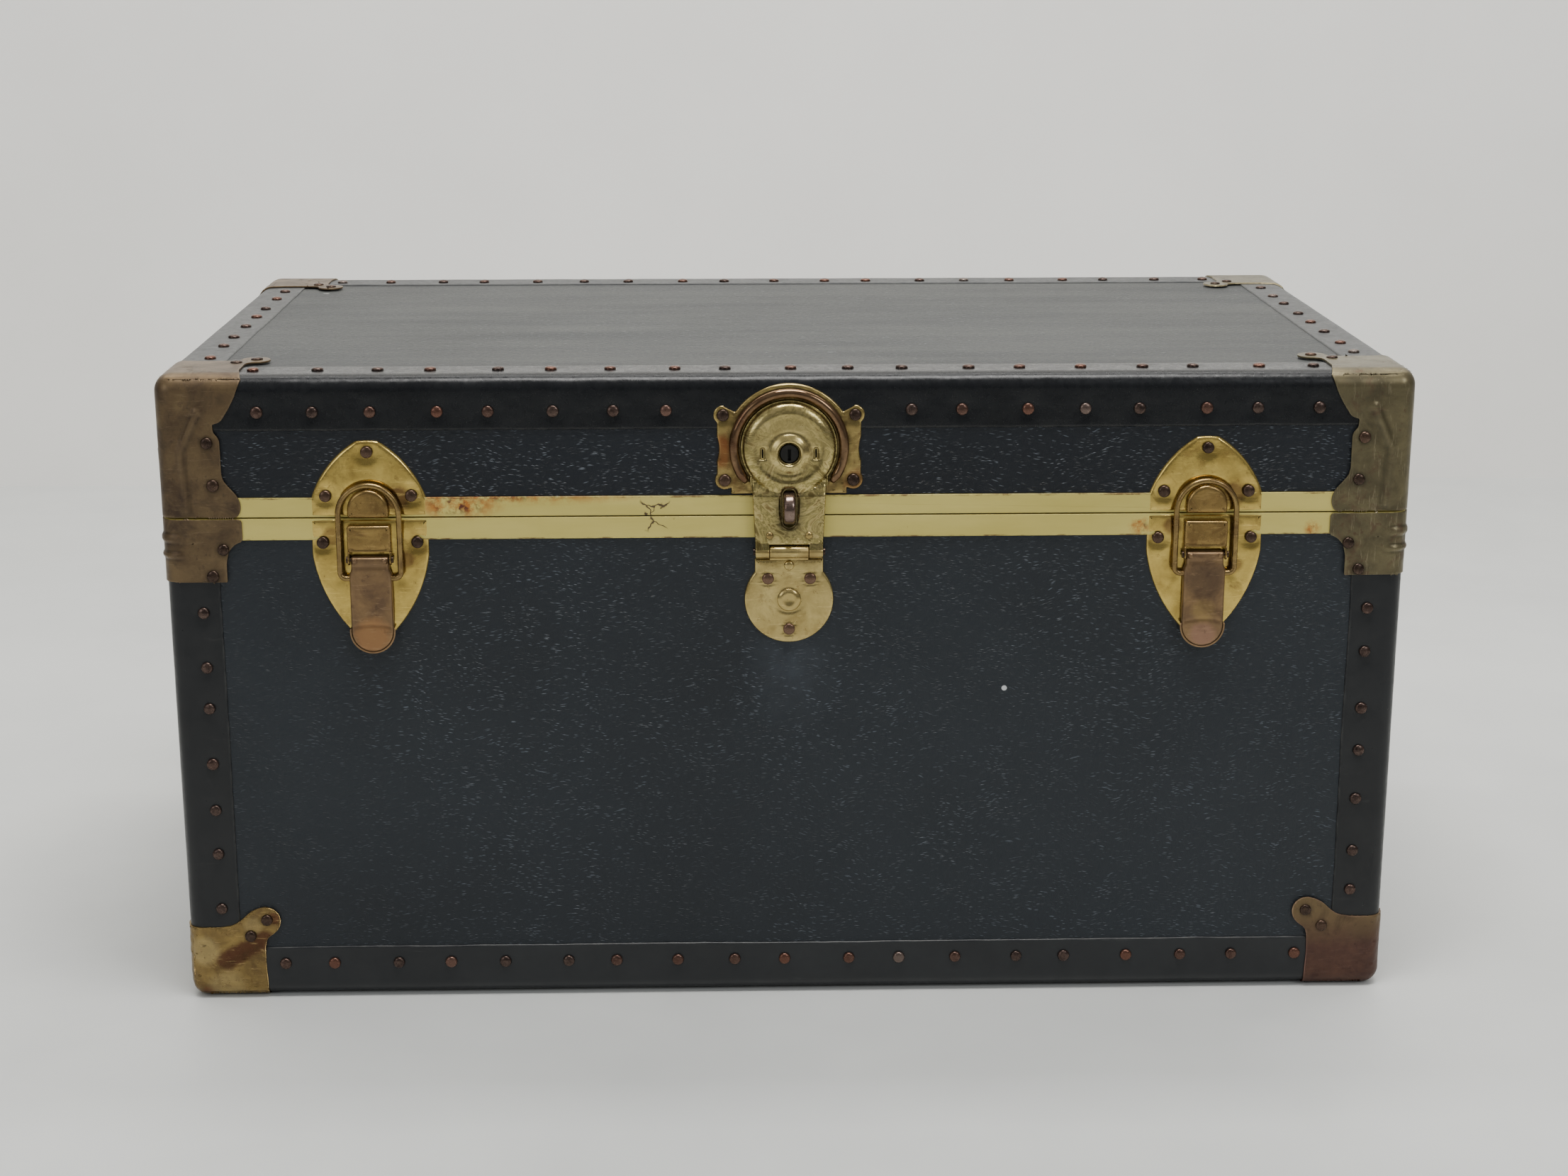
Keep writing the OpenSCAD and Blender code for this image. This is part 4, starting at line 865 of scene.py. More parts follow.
PAINTED = {
    "cover": ["body_front_panel", "body_rear_panel", "body_left_panel", "body_right_panel",
              "body_bottom_panel", "lid_rear_panel", "lid_left_panel", "lid_right_panel"],
    "cover_lid": ["lid_front_panel"],
    "top": ["lid_top_panel"],
    "lining": ["body_lining", "lid_lining"],
    "rim": ["body_rim", "lid_rim"],
    "rivet": ["hasp_pin", "latch_pins", "hinge_pins", "lock_bolt"],
    "cap": ["lock_back_cover"],
    # The lock barrel is painted near black, painted shade inside the keyhole.
    "painted_shade_black": ["lock_barrel"],
}
for material, painted in PAINTED.items():
    for name in painted:
        nodes[name].data.materials.clear()
        nodes[name].data.materials.append(M[material])


# ---- Nails and rivets: a small dome for each CAD solid, where it is ----

def islands(node):
    """The box of each separate solid of a node, in mm."""
    mesh = nodes[node].data
    parent = list(range(len(mesh.vertices)))

    def find(i):
        while parent[i] != i:
            parent[i] = parent[parent[i]]
            i = parent[i]
        return i

    weld = {}
    for v in mesh.vertices:
        key = tuple(round(c, 5) for c in v.co)
        if key in weld:
            parent[find(v.index)] = find(weld[key])
        weld[key] = v.index
    for e in mesh.edges:
        a, b = find(e.vertices[0]), find(e.vertices[1])
        parent[a] = b
    groups = {}
    for v in mesh.vertices:
        groups.setdefault(find(v.index), []).append(v.co / MM)
    return [(Vector(map(min, *g)), Vector(map(max, *g))) for g in groups.values()]


def head_spots(node):
    """(the middle of each fastener's head, its outward direction, its face) for a node of fasteners."""
    boxes = islands(node)
    lo = Vector([min(b[0][i] for b in boxes) for i in range(3)])
    hi = Vector([max(b[1][i] for b in boxes) for i in range(3)])
    faces = [("left", 0, -1, lo), ("right", 0, 1, hi), ("front", 1, -1, lo), ("rear", 1, 1, hi),
             ("bottom", 2, -1, lo), ("top", 2, 1, hi)]
    found = []
    for a, b in boxes:
        for face, axis, sign, level in faces:
            reach = a[axis] if sign < 0 else b[axis]
            if abs(reach - level[axis]) < 0.4 and (node[:3], face) not in (("lid", "bottom"), ("bod", "top")):
                centre = (a + b) / 2
                out = Vector((0, 0, 0))
                out[axis] = sign
                centre[axis] = reach
                found.append((centre, out, face))
                break
    return found


def fasteners(name, node, material, body, head_r, rise, collar):
    parts, tones = [], []
    r = random.Random(name)
    for centre, out, face in head_spots(node):
        base = centre - out * (rise if face != "bottom" else 1.0)
        h = rise if face != "bottom" else 0.95
        tilt = out.orthogonal().normalized()
        tilt.rotate(Matrix.Rotation(r.uniform(0, 6.28), 3, out))
        axis = (out + tilt * r.uniform(0, 0.07)).normalized() if face != "bottom" else out
        radius = head_r * r.uniform(0.94, 1.0)
        dome_h = h * r.uniform(0.9, 0.97)
        lip = 0.22 * h
        profile = [(radius * 0.98, -collar), (radius, lip * 0.4), (radius * 0.985, lip)]
        for k in range(1, 7):
            t = k / 6
            profile.append((radius * 0.985 * math.cos(t * math.pi / 2),
                            lip + (dome_h - lip) * math.sin(t * math.pi / 2)))
        profile[-1] = (0, dome_h)
        vs, fs = lathe(profile, base, axis, 20)
        parts.append((vs, fs))
        shade = r.random() ** 1.4
        if material == "rivet":
            on_disc = face == "front" and abs(centre.x) < 20
            shade = 0.75 if on_disc else 0.5 * shade
        elif face in ("front", "rear") and abs(centre.x) > 370 and body == "body":
            shade = 0.3 * shade
        tones += [shade] * len(vs)
    return several(name, parts, material, body, [node], {"tone": tones})


for kind, material, radius, rise, collar in (("nail", "steel", NAIL_HEAD_R, 2.0, 0.9),
                                             ("rivet", "rivet", RIVET_HEAD_R, 1.8, 0.7)):
    for body in ("body", "lid"):
        fasteners(f"{kind}_heads_{body}", f"{body}_{kind}s", material, body, radius, rise, collar)


# ---- Bindings: fibre strips bent over the edges, a little wavy, dimpled at their nails ----

def bent_over(p, out, low=None, high=None):
    """Moves a point on a sharp box onto the rounded case, and gives the outward normal there too."""
    bottom = FLOOR_Z + PANEL_T if low is None else low
    top = TOP_Z - PANEL_T if high is None else high
    inner = Vector((max(-INNER_X, min(INNER_X, p.x)), max(-INNER_Y, min(INNER_Y, p.y)),
                    max(bottom, min(top, p.z))))
    n = p - inner
    if n.length < 1e-6:
        return p, Vector((0, 0, 1))
    n = n.normalized()
    return inner + n * (PANEL_T + out), n


NAIL_SPOTS = {"body": [c for c, _, _ in head_spots("body_nails")],
              "lid": [c for c, _, _ in head_spots("lid_nails")]}


def strip(name, corner, along, start, end, body, material, replaces, seed):
    """A binding over one edge. corner gives the two outward signs, and along is the axis it runs in."""
    ins = [35.0, 34.85, 34.4, 33.4, 31, 28, 25.5, 23.2, 21, 18, 15, 12.5, 10.6, 9, 7.5, 6, 4.5, 3, 1.2, -0.6]
    axes = [i for i in range(3) if i != along]
    rows = [(axes[0], axes[1], s) for s in ins] + [(axes[1], axes[0], s) for s in reversed(ins[:-1])]
    half = Vector((EDGE_X, EDGE_Y, 0))
    count = max(2, int((end - start) / 3.2))
    us = np.linspace(start, end, count)
    spots = np.array([tuple(c) for c in NAIL_SPOTS[body]])
    verts, edge = [], []
    for j, (flat_axis, other, s) in enumerate(rows):
        outer_leg = min(j, len(rows) - 1 - j)
        side = 0 if j < len(ins) else 1
        for u in us:
            wander = 0.55 * float(wave(u, side * 400, 60, seed)) + 0.25 * float(wave(u, side * 300, 14,
                seed + 1))
            inward = s + (wander if s > 30 else wander * max(0, (s - 20) / 10))
            inward = min(inward, 35.6)
            p = Vector((0, 0, 0))
            p[along] = u
            level = SKIN
            for axis in (flat_axis, other):
                sign = corner[axis]
                if axis == 2:
                    limit = TOP_Z + SKIN if sign > 0 else FLOOR_Z - SKIN
                else:
                    limit = half[axis]
                p[axis] = sign * limit if axis != 2 else limit
            p[other] -= corner[other] * inward
            point, n = bent_over(p, level)
            here = point + Vector((0, SHIFT, 0))
            near = np.linalg.norm(spots - np.array(tuple(here)), axis=1).min() if len(spots) else 99
            dip = 0.42 * math.exp(-((near - 4.5) / 3.0) ** 2) if near > 4.5 else 0.42
            dip += 0.2 * (0.5 + 0.5 * float(wave(u, j * 3.0, 26, seed + 2)))
            if outer_leg == 0:
                dip = 1.15
            elif outer_leg == 1:
                dip = 0.55
            verts.append(here - n * dip)
            edge.append(1.0 if outer_leg <= 1 else 0.4 if outer_leg == 2 else 0.0)
    faces = []
    for j in range(len(rows) - 1):
        for k in range(count - 1):
            a = j * count + k
            faces.append((a, a + 1, a + count + 1, a + count))
    obj = build(name, verts, faces, material, body, replaces, {"edge": edge})
    return facing_out(obj)


def facing_out(obj):
    """Turns an open skin so that its faces look away from the middle of the case."""
    bm = bmesh.new()
    bm.from_mesh(obj.data)
    bmesh.ops.recalc_face_normals(bm, faces=bm.faces)
    middle = Vector((0, SHIFT, 210)) * MM
    if sum(f.normal.dot(f.calc_center_median() - middle) * f.calc_area() for f in bm.faces) < 0:
        bmesh.ops.reverse_faces(bm, faces=bm.faces)
    bm.to_mesh(obj.data)
    bm.free()
    return obj


run_x = EDGE_X - 12
run_y = EDGE_Y - 36
EDGES = [
    ("lid_front", (0, -1, 1), "fibre_lid", ["lid_front_binding"]),
    ("lid_rear", (0, 1, 1), "fibre_side", ["lid_rear_binding"]),
    ("lid_left", (-1, 0, 1), "fibre_side", []),
    ("lid_right", (1, 0, 1), "fibre_side", ["lid_side_bindings"]),
    ("low_front", (0, -1, -1), "fibre", ["body_front_binding"]),
    ("low_rear", (0, 1, -1), "fibre", ["body_rear_binding"]),
    ("low_left", (-1, 0, -1), "fibre", []),
    ("low_right", (1, 0, -1), "fibre", ["body_side_bindings"]),
]
for i, (edge_name, outward_signs, material, replaced) in enumerate(EDGES):
    along = 1 if outward_signs[0] else 0
    run = (run_x, run_y)[along]
    body = "lid" if outward_signs[2] > 0 else "body"
    strip(f"binding_{edge_name}", outward_signs, along, -run, run, body, material, replaced, 3 + 10 * i)
for i, (sx, sy) in enumerate(((-1, -1), (1, -1), (-1, 1), (1, 1))):
    replaced = ["body_upright_bindings"] if i == 3 else []
    strip(f"binding_upright_{i}", (sx, sy, 0), 2, 36.8, BODY_TOP - 14, "body", "fibre_upright", replaced,
          83 + i)


# ---- Pressed corners ----

CAP_SHEET = 1.15


def segment_gap(x, z, a, b):
    """The distance from points to a segment."""
    a, b = np.array(a, float), np.array(b, float)
    d = b - a
    t = np.clip(((x - a[0]) * d[0] + (z - a[1]) * d[1]) / (d @ d), 0, 1)
    return np.hypot(x - a[0] - t * d[0], z - a[1] - t * d[1])


def corner(name, node, body, material, slot, sx, sy, wall_line, cap_line, top, relief, seed, rivets,
           step=2.0):
    """A pressed corner.

    An outline is (distance in from the edge, height) on the walls, and both distances on the cap.
    top is 1 for a corner over the lid's edges, -1 for one under the body's, and 0 for one with no cap.
    """
    sharp_x, sharp_y = HALF_W + PLATE, HALF_D + PLATE
    level = TOP_Z + PLATE if top > 0 else FLOOR_Z - PLATE
    bm = bmesh.new()
    flats, kinds = [], []
    for kind in ("x", "y") + (("cap",) if top else ()):
        line = dense(cap_line if kind == "cap" else wall_line, 1.5)
        part = gridded(filled(line), step)
        part.verts.index_update()
        made = []
        for v in part.verts:
            s, t = v.co.x, v.co.y
            if kind == "x":
                p = Vector((EDGE_X - s, sharp_y, t))
            elif kind == "y":
                p = Vector((sharp_x, EDGE_Y - s, t))
            else:
                p = Vector((EDGE_X - s, EDGE_Y - t, level))
            made.append(bm.verts.new(p))
            flats.append((s, t))
            kinds.append(kind)
        for f in part.faces:
            bm.faces.new([made[v.index] for v in f.verts])
        part.free()
    bm.verts.ensure_lookup_table()
    bm.verts.index_update()
    flats = np.array(flats)
    kinds = np.array(kinds)
    rise = np.zeros(len(flats))
    dark = np.zeros(len(flats))
    for kind in ("x", "y"):
        pick = kinds == kind
        rise[pick], dark[pick] = relief(flats[pick, 0], flats[pick, 1], seed + (kind == "y"))
        # Painted shade and grime round each rivet head.
        for rs, rz in rivets:
            gap = np.hypot(flats[pick, 0] - rs, flats[pick, 1] - rz)
            dark[pick] = np.maximum(dark[pick], np.clip(1 - (gap - 3.6) / 2.2, 0, 0.8))
    layer_edge = bm.verts.layers.float.new("edge")
    layer_dark = bm.verts.layers.float.new("hollow")
    low = FLOOR_Z + PANEL_T if top < 0 else 0.0
    high = TOP_Z - PANEL_T if top > 0 else 900.0
    # Painted highlight along each rib's crest, carried in the edge mark.
    crest = 0.4 * np.clip((rise - 0.4) / 0.9, 0, 1)
    away = []
    for i, v in enumerate(bm.verts):
        v.co, n = bent_over(v.co, PLATE, low, high)
        v[layer_dark] = float(dark[i])
        v[layer_edge] = float(crest[i])
        away.append(n)
    bm.normal_update()
    for f in bm.faces:
        if f.normal.dot(away[f.verts[0].index]) < 0:
            f.normal_flip()
    for v, n, d in zip(bm.verts, away, rise):
        v.co = v.co + n * float(d)
    bmesh.ops.remove_doubles(bm, verts=bm.verts, dist=0.25)
    for v in bm.verts:
        v[layer_edge] = 1.0 if v.is_boundary else v[layer_edge]
        v.co = Vector((sx * v.co.x, sy * v.co.y + SHIFT, v.co.z)) * MM
    if sx * sy < 0:
        bmesh.ops.reverse_faces(bm, faces=bm.faces)
    mesh = bpy.data.meshes.new(name)
    bm.to_mesh(mesh)
    bm.free()
    obj = placed(name, mesh)
    modified(obj, ("SOLIDIFY", {"thickness": CAP_SHEET * MM, "offset": -1.0}), bevel_of(0.4, 55))
    for v in obj.data.vertices:
        v.co.z = max(v.co.z, 0.0)
    settle(obj, material, body, [node])
    return obj


S0 = -SKIN
LID_LOW = SEAM + 0.3
lid_wall = [
    (S0, LID_LOW), (48.6, LID_LOW), (50.8, SEAM + 4.5), (50.9, SEAM + 9), (49, SEAM + 14), (44.6, SEAM + 19),
    (40.9, SEAM + 23.5), (39.7, SEAM + 28), (39.7, SEAM + 50.8), (36.2, SEAM + 55), (35.8, SEAM + 60.4),
    (41, SEAM + 62), (46.3, SEAM + 70), (50.6, SEAM + 78), (53.4, SEAM + 86),
    (54.6, TOP_Z + PLATE), (S0, TOP_Z + PLATE),
]
ear = [
    (S0, S0), (54.6, S0), (53.2, 8), (51, 18), (51, 38), (51.8, 43), (55, 46), (60, 46.6), (64.2, 50.5),
    (65.2, 56), (62.6, 62), (57.5, 65.2), (51.5, 64.6), (47, 60.5), (46.4, 55), (43, 51.8), (38, 51),
    (18, 51), (8, 53.2), (S0, 54.6),
]
foot_wall = [
    (S0, FLOOR_Z - PLATE), (51.2, FLOOR_Z - PLATE), (51.4, 12), (50.6, 26), (51, 38), (52.6, 43.2),
    (57, 46.2),
    (60.6, 50), (62, 55.3), (60.7, 60.3), (57, 63.9), (52, 65.2), (46.8, 64.2), (41, 61), (35.8, 56),
    (30.5, 52.4), (22, 51), (S0, 51),
]
foot_cap = [(S0, S0), (51.2, S0), (51, 39), (47.5, 47.5), (39, 51), (S0, 51.2)]
rim_wall = [
    (S0, BODY_TOP - 41.3), (40, BODY_TOP - 41.5), (40, BODY_TOP - 28), (42, BODY_TOP - 20.5),
    (46.5, BODY_TOP - 16.2), (51, BODY_TOP - 14.5), (51, BODY_TOP - 1.8), (49.5, BODY_TOP - 0.3),
    (S0, BODY_TOP - 0.3),
]
lid_wall = rounded_line(lid_wall, [0, 1.5, *[2.5] * 7, 1.2, 1.0, *[3] * 4, 0, 0])
ear = rounded_line(ear, [0, 0] + [3] * 17 + [0])
foot_wall = rounded_line(foot_wall, [0, 0] + [2.5] * 15 + [0])
rim_wall = rounded_line(rim_wall, [0, 1.0, 3, 3, 3, 2, 1.5, 1.0, 0])


def lid_relief(s, z, seed):
    """The pressed rib that runs down and bends outward at its foot, with small dents round it."""
    knee = (14.0, SEAM + 42)
    gap = np.minimum(segment_gap(s, z, (26.5, SEAM + 69), knee), segment_gap(s, z, knee, (16.5, SEAM + 5)))
    rib = 1.55 * ridge(gap, 2.1)
    inside = (s > 14) & (z < SEAM + 66)
    rib -= 0.45 * ridge(gap - 3.6, 1.6) * inside
    dents = 0.28 * wave(s, z, 16, seed) - 0.25
    fade = np.clip((s - 4) / 6, 0, 1)
    # Painted shade beside the rib, on its inner side.
    dark = 0.75 * ridge(gap - 2.6, 1.3) * inside
    return (rib + dents) * fade, dark


def rim_relief(s, z, seed):
    rise = 0.14 * wave(s, z, 12, seed) - 0.12
    dark = np.zeros_like(s)
    for centre, half in ((BODY_TOP - 12.6, 2.6), (BODY_TOP - 23.8, 1.8)):
        reach = np.clip(1 - np.maximum(s - 10.5, 0) / 2.2, 0, 1)
        band = np.clip(1 - np.maximum(np.abs(z - centre) - half * 0.5, 0) / (half * 0.7), 0, 1)
        rise = rise + 1.1 * band * reach
        dark = np.maximum(dark,
                          0.6 * reach * ((np.abs(z - centre) > half) & (np.abs(z - centre) < half + 1.6)))
    return rise, dark


def foot_relief(strength):
    def relief(s, z, seed):
        rise = strength * (0.55 * wave(s, z, 10, seed) + 0.4 * wave(s, z, 4.6, seed + 9)) - 0.45 * strength
        gouge = segment_gap(s, z, (22, 22), (48, 38))
        rise = rise - strength * 0.55 * ridge(gouge, 3.0)
        dark = strength * 0.9 * ridge(gouge, 2.4) * (0.6 + 0.4 * wave(s, z, 3, seed))
        bottom = np.clip((z - 3) / 8, 0, 1)
        return np.clip(rise, -0.8, 0.6) * bottom, np.clip(dark, 0, 1)
    return relief


lid_rivets = [(31.7, SEAM + 48.5), (34, SEAM + 21)]
rim_rivets = [(38.5, BODY_TOP - 20), (31, BODY_TOP - 37.5)]
foot_rivets = [(41.4, 44.7), (52.7, 56)]
FEET = {"front_left": ("foot", "brass", 1.0), "front_right": ("foot_red", "red_brass", 0.4),
        "rear_left": ("foot_rear", "dull_brass", 0.6), "rear_right": ("foot_rear", "dull_brass", 0.5)}
for i, (place_name, (metal, slot, strength)) in enumerate(FEET.items()):
    sx = -1 if "left" in place_name else 1
    sy = -1 if "front" in place_name else 1
    tone = "cap" if sx < 0 else "cap_green"
    corner(f"lid_cap_{place_name}", f"lid_corner_{place_name}", "lid", tone, "dull_brass", sx, sy,
           lid_wall, ear, 1, lid_relief, 100 + 10 * i, lid_rivets, step=1.5)
    corner(f"rim_cap_{place_name}", f"rim_corner_{place_name}", "body", tone, "dull_brass", sx, sy,
           rim_wall, None, 0, rim_relief, 200 + 10 * i, rim_rivets)
    corner(f"foot_cap_{place_name}", f"foot_corner_{place_name}", "body", metal, slot, sx, sy,
           foot_wall, foot_cap, -1, foot_relief(strength), 300 + 10 * i, foot_rivets)


# ---- Flat blocks and knuckles ----

def block(name, outline, start, end, face, cx, material, body, bevel=0.35):
    """A solid drawn in height and outward distance on a face, and carried sideways from start to end.

    cx is the middle of the part on its face.
    """
    line = dense(outline, 3.0)
    n = len(line)
    verts = [on_face(face, cx + x, z, out) for x in (start, end) for z, out in line]
    faces = [tuple(range(n)), tuple(range(n, 2 * n))[::-1]]
    faces += [(i, (i + 1) % n, n + (i + 1) % n, n + i) for i in range(n)]
    obj = outward(build(name, verts, faces, material, body))
    return settle(modified(obj, bevel_of(bevel, 40)), material, body)


def bar(name, face, a, b, r, material, body, slot, bevel=0.5):
    """A round bar on a face, between two points given as (across, height, outward)."""
    return several(name, [rod(on_face(face, *a), on_face(face, *b), r, bevel)], material, body)


def star(inside, centre, reach, count=260):
    """The outline of a region seen from a point inside it."""
    out = []
    for k in range(count):
        a = 2 * math.pi * (k + 0.5) / count
        low, high = 0.0, reach
        for _ in range(22):
            mid = (low + high) / 2
            if inside(centre[0] + mid * math.cos(a), centre[1] + mid * math.sin(a)):
                low = mid
            else:
                high = mid
        out.append((centre[0] + low * math.cos(a), centre[1] + low * math.sin(a)))
    return out


def arch(arc_r, off, arc_z, blunt_r, blunt_z, half, low, high):
    """A test for two large arcs that meet in a point, a third that blunts it, and straight sides and end."""
    def inside(x, z):
        return (math.hypot(abs(x) + off, z - arc_z) < arc_r and math.hypot(x, z - blunt_z) < blunt_r
                and abs(x) < half and low < z < high)
    return inside


def dimpled(spots, depth=0.65, reach=3.4):
    """Relief, and grime with painted shade, around the rivets of a plate."""
    def relief(x, z):
        low = np.zeros_like(x)
        for sx, sz in spots:
            gap = np.hypot(x - sx, z - sz)
            low -= depth * ridge(np.maximum(gap - RIVET_HEAD_R, 0), reach)
        return low

    def hollow(x, z):
        dark = np.zeros_like(x)
        for sx, sz in spots:
            gap = np.hypot(x - sx, z - sz)
            dark = np.maximum(dark, np.clip(1 - (gap - RIVET_HEAD_R + 0.4) / 1.2, 0, 1))
        return dark
    return relief, hollow


# ---- Draw bolts ----

LATCH_X = (box_mm("latch_right_lever")[0].x + box_mm("latch_right_lever")[1].x) / 2
PIN_Z = SEAM - 27
PIN_OUT = 6.2
LEVER_HALF = 13.6
BAIL_Z = PIN_Z - 12.5
BAIL_OUT = 5.6
BAIL_HALF = 19.3
ARCH_Z = SEAM + 2
LEVER_OUT = 9.0
TIP_Z = SEAM - 88
BOSS_OUT = 8.0

keeper_line = star(arch(69, 28.6, SEAM - 10, 50.6, SEAM - 1, 37, SEAM + 0.3, SEAM + 60), (0, SEAM + 20), 60)
base_line = star(arch(94, 55.8, SEAM - 13, 56, SEAM - 29, 37.4, SEAM - 90, SEAM - 1.3), (0, SEAM - 32), 70)
boss_top = ARCH_Z + BAIL_HALF - 2.4
boss_line = rounded_line([(-13.3, SEAM + 0.4), (13.3, SEAM + 0.4)] + arc(0, boss_top - 13.3, 13.3, 0, 180,
    17), [2, 2] + [0] * 17)
bridge_line = rounded_line([(-13.9, PIN_Z + 5.1), (13.9, PIN_Z + 5.1), (13.9, BODY_TOP - 3.5),
                            (-13.9, BODY_TOP - 3.5)], [1, 1, 2, 2])


def lever_line():
    wide = LEVER_HALF
    tip = TIP_Z + wide
    line = [(12.2, PIN_Z - 6.5), (wide, PIN_Z - 10)] + [(wide, tip)] + arc(0, tip, wide, 0, -180, 21)[1:]
    line += [(-wide, PIN_Z - 10), (-12.2, PIN_Z - 6.5), (-12.2, PIN_Z + 2), (12.2, PIN_Z + 2)]
    n = len(line)
    return rounded_line(line, [1] + [1] + [0] * (n - 6) + [1, 1, 1.4, 1.4])


def pressed_face(spots, channel):
    """A latch plate: crowned, dimpled at its rivets, with a shallow channel where the wire lies."""
    dip, shade_grime = dimpled(spots)

    def relief(x, z, gap):
        crown = -0.45 * np.exp(-gap / 2.6)
        lane = np.abs(np.where(z > ARCH_Z, np.hypot(x, z - ARCH_Z), np.abs(x)) - BAIL_HALF)
        run = np.where(z > BAIL_Z - 2, 1.0, ridge(z - BAIL_Z + 2, 4.0))
        swell = 0.22 * wave(x, z, 26, 31) - 0.22 - 0.35 * (x / 36) ** 2
        return crown + swell + dip(x, z) - 0.5 * channel * ridge(lane, 2.6) * run

    def hollow(x, z):
        lane = np.abs(np.where(z > ARCH_Z, np.hypot(x, z - ARCH_Z), np.abs(x)) - BAIL_HALF + 1.5)
        run = np.where(z > BAIL_Z - 2, 1.0, ridge(z - BAIL_Z + 2, 4.0))
        # Painted shade and grime round the rivets and along the channel beside the wire.
        return np.maximum(shade_grime(x, z), 0.75 * channel * ridge(lane, 1.9) * run)
    return relief, hollow


def crowned(amount, half):
    return lambda x, z, gap: -amount * (x / half) ** 2


def draw_bolt(side, cx):
    at = flat_on("front", cx)
    lever_body, bail_body = f"latch_{side}_lever", f"latch_{side}_bail"
    relief, hollow = pressed_face([(-27.2, SEAM + 13.8), (27.2, SEAM + 13.8), (0, SEAM + 42.2)], 1.0)
    plate(f"keeper_{side}", keeper_line, at, PLATE, "brass", "lid", [f"latch_{side}_keeper"],
          round_r=1.9, step=2.5, relief=relief, hollow=hollow)
    plate(f"keeper_boss_{side}", boss_line, at, BOSS_OUT, "boss", "lid", [], round_r=2.3, base=1.8,
          step=3, relief=crowned(0.5, 13))
    relief, hollow = pressed_face([(-30.1, SEAM - 16.7), (30.1, SEAM - 16.7)], 0.8)
    plate(f"latch_base_{side}_plate", base_line, at, PLATE, "brass", "body", [f"latch_{side}_base"],
          round_r=1.9, step=2.5, relief=relief, hollow=hollow)

    def bridge_relief(x, z, gap):
        seat = ridge(z - PIN_Z - 7.2, 1.1)
        return -0.5 * (x / 14) ** 2 - 0.7 * seat

    plate(f"latch_bridge_{side}", bridge_line, at, PIN_OUT + 2.4, "boss", "body", [], round_r=1.5,
          base=1.8, step=2.5, relief=bridge_relief)
    ear_line = arc(PIN_Z, PIN_OUT, 3.5, 90, 270, 9)
    ear_line += [(PIN_Z + 5.4, PLATE - 0.6), (PIN_Z + 5.4, PIN_OUT + 2.3), (PIN_Z + 1.5, PIN_OUT + 2.9)]
    for k, s in enumerate((-1, 1)):
        block(f"latch_ear_{side}_{k}", ear_line, s * 12.65, s * 13.85, "front", cx, "boss", "body",
              bevel=0.3)

    def skirt(x, z):
        rise = np.clip((TIP_Z + 19 - z) / 5, 0, 1)
        return 3.6 + (LEVER_OUT - 1.2 - 3.6) * ease(rise)

    def lever_relief(x, z, gap):
        spoon = np.clip((TIP_Z + 16 - z) / 14, 0, 1)
        bow = (x / LEVER_HALF) ** 2
        creases = 0.45 * ridge(z - TIP_Z - 18.5 + 2.2 * bow, 1.1) + 0.35 * ridge(z - PIN_Z + 4.2, 1.6)
        return -0.55 * bow - 0.35 * spoon ** 2 - creases

    plate(f"lever_{side}", lever_line(), at, LEVER_OUT, "lever", lever_body, [lever_body],
          round_r=2.2, base=skirt, step=2.5, relief=lever_relief, shell=1.05)

    turn = 4.0
    wire = [(-10.4, BAIL_Z), (-13.0, BAIL_Z)]
    wire += arc(-BAIL_HALF + turn, BAIL_Z + turn, turn, 270, 180, 7)
    wire += [(-BAIL_HALF, z) for z in np.linspace(BAIL_Z + turn + 3, ARCH_Z - 2, 8)]
    wire += arc(0, ARCH_Z, BAIL_HALF, 180, 0, 33)
    wire += [(-x, z) for x, z in reversed(wire[:17])]
    path = [on_face("front", cx + x, z, BAIL_OUT) for x, z in wire]
    last = len(path) - 1

    def section(t):
        k = min(t, 1 - t) * last
        return ring_section(1.38 if k < 0.6 else 1.85, 14)

    sweep(f"bail_{side}", path, section, "bail", bail_body, [bail_body], up=OUT)


draw_bolt("left", -LATCH_X)
draw_bolt("right", LATCH_X)


# ---- Hasp lock ----

HEAD_Z = SEAM + 43.8
KEY_Z = SEAM + 41
HASP_IN = 3.0
HASP_OUT = 9.2
NECK_OUT = 8.2
AXIS_Z = SEAM - 23.8
AXIS_OUT = 4.9
KNUCKLE_R = 4.4
DISC_Z = SEAM - 56.5
STAPLE_Z = SEAM + 5.5
STAPLE_OUT = 8.0
STAPLE_R = 8.5
PRONG_X = 17.0
STUD_X = 12.6
MIDDLE_KNUCKLE = 12.45
OUTER_KNUCKLE = 21.7
lock_at = flat_on("front")


def keeper_inside(x, z):
    x = abs(x)
    if z < SEAM + 13.5 or math.hypot(x - 68.7, z - HEAD_Z + 1) < 24:
        return False
    lobes = [(0, HEAD_Z - 0.3, 41.5), (42, SEAM + 64.8, 6.3), (41, SEAM + 22.6, 6.3)]
    square = x < 46 and SEAM + 21 < z < SEAM + 67
    foot = x < 37 and z < SEAM + 25.5
    return square or foot or any(math.hypot(x - a, z - b) < r for a, b, r in lobes)


lock_spots = [(s * x, SEAM + z) for s in (-1, 1) for x, z in ((42, 64.8), (41, 22.6))]
lock_dip, lock_shade_grime = dimpled(lock_spots, 0.4, 2.4)


def lock_plate_relief(x, z, gap):
    r = np.hypot(x, z - HEAD_Z)
    return lock_dip(x, z) - 0.3 * np.exp(-gap / 2.0) + 0.12 * wave(x, z, 8, 17) - 0.12 \
        - 0.25 * ridge(r - 38.6, 1.0) - 0.9 * edge_of(r - 32.8, 0.3)


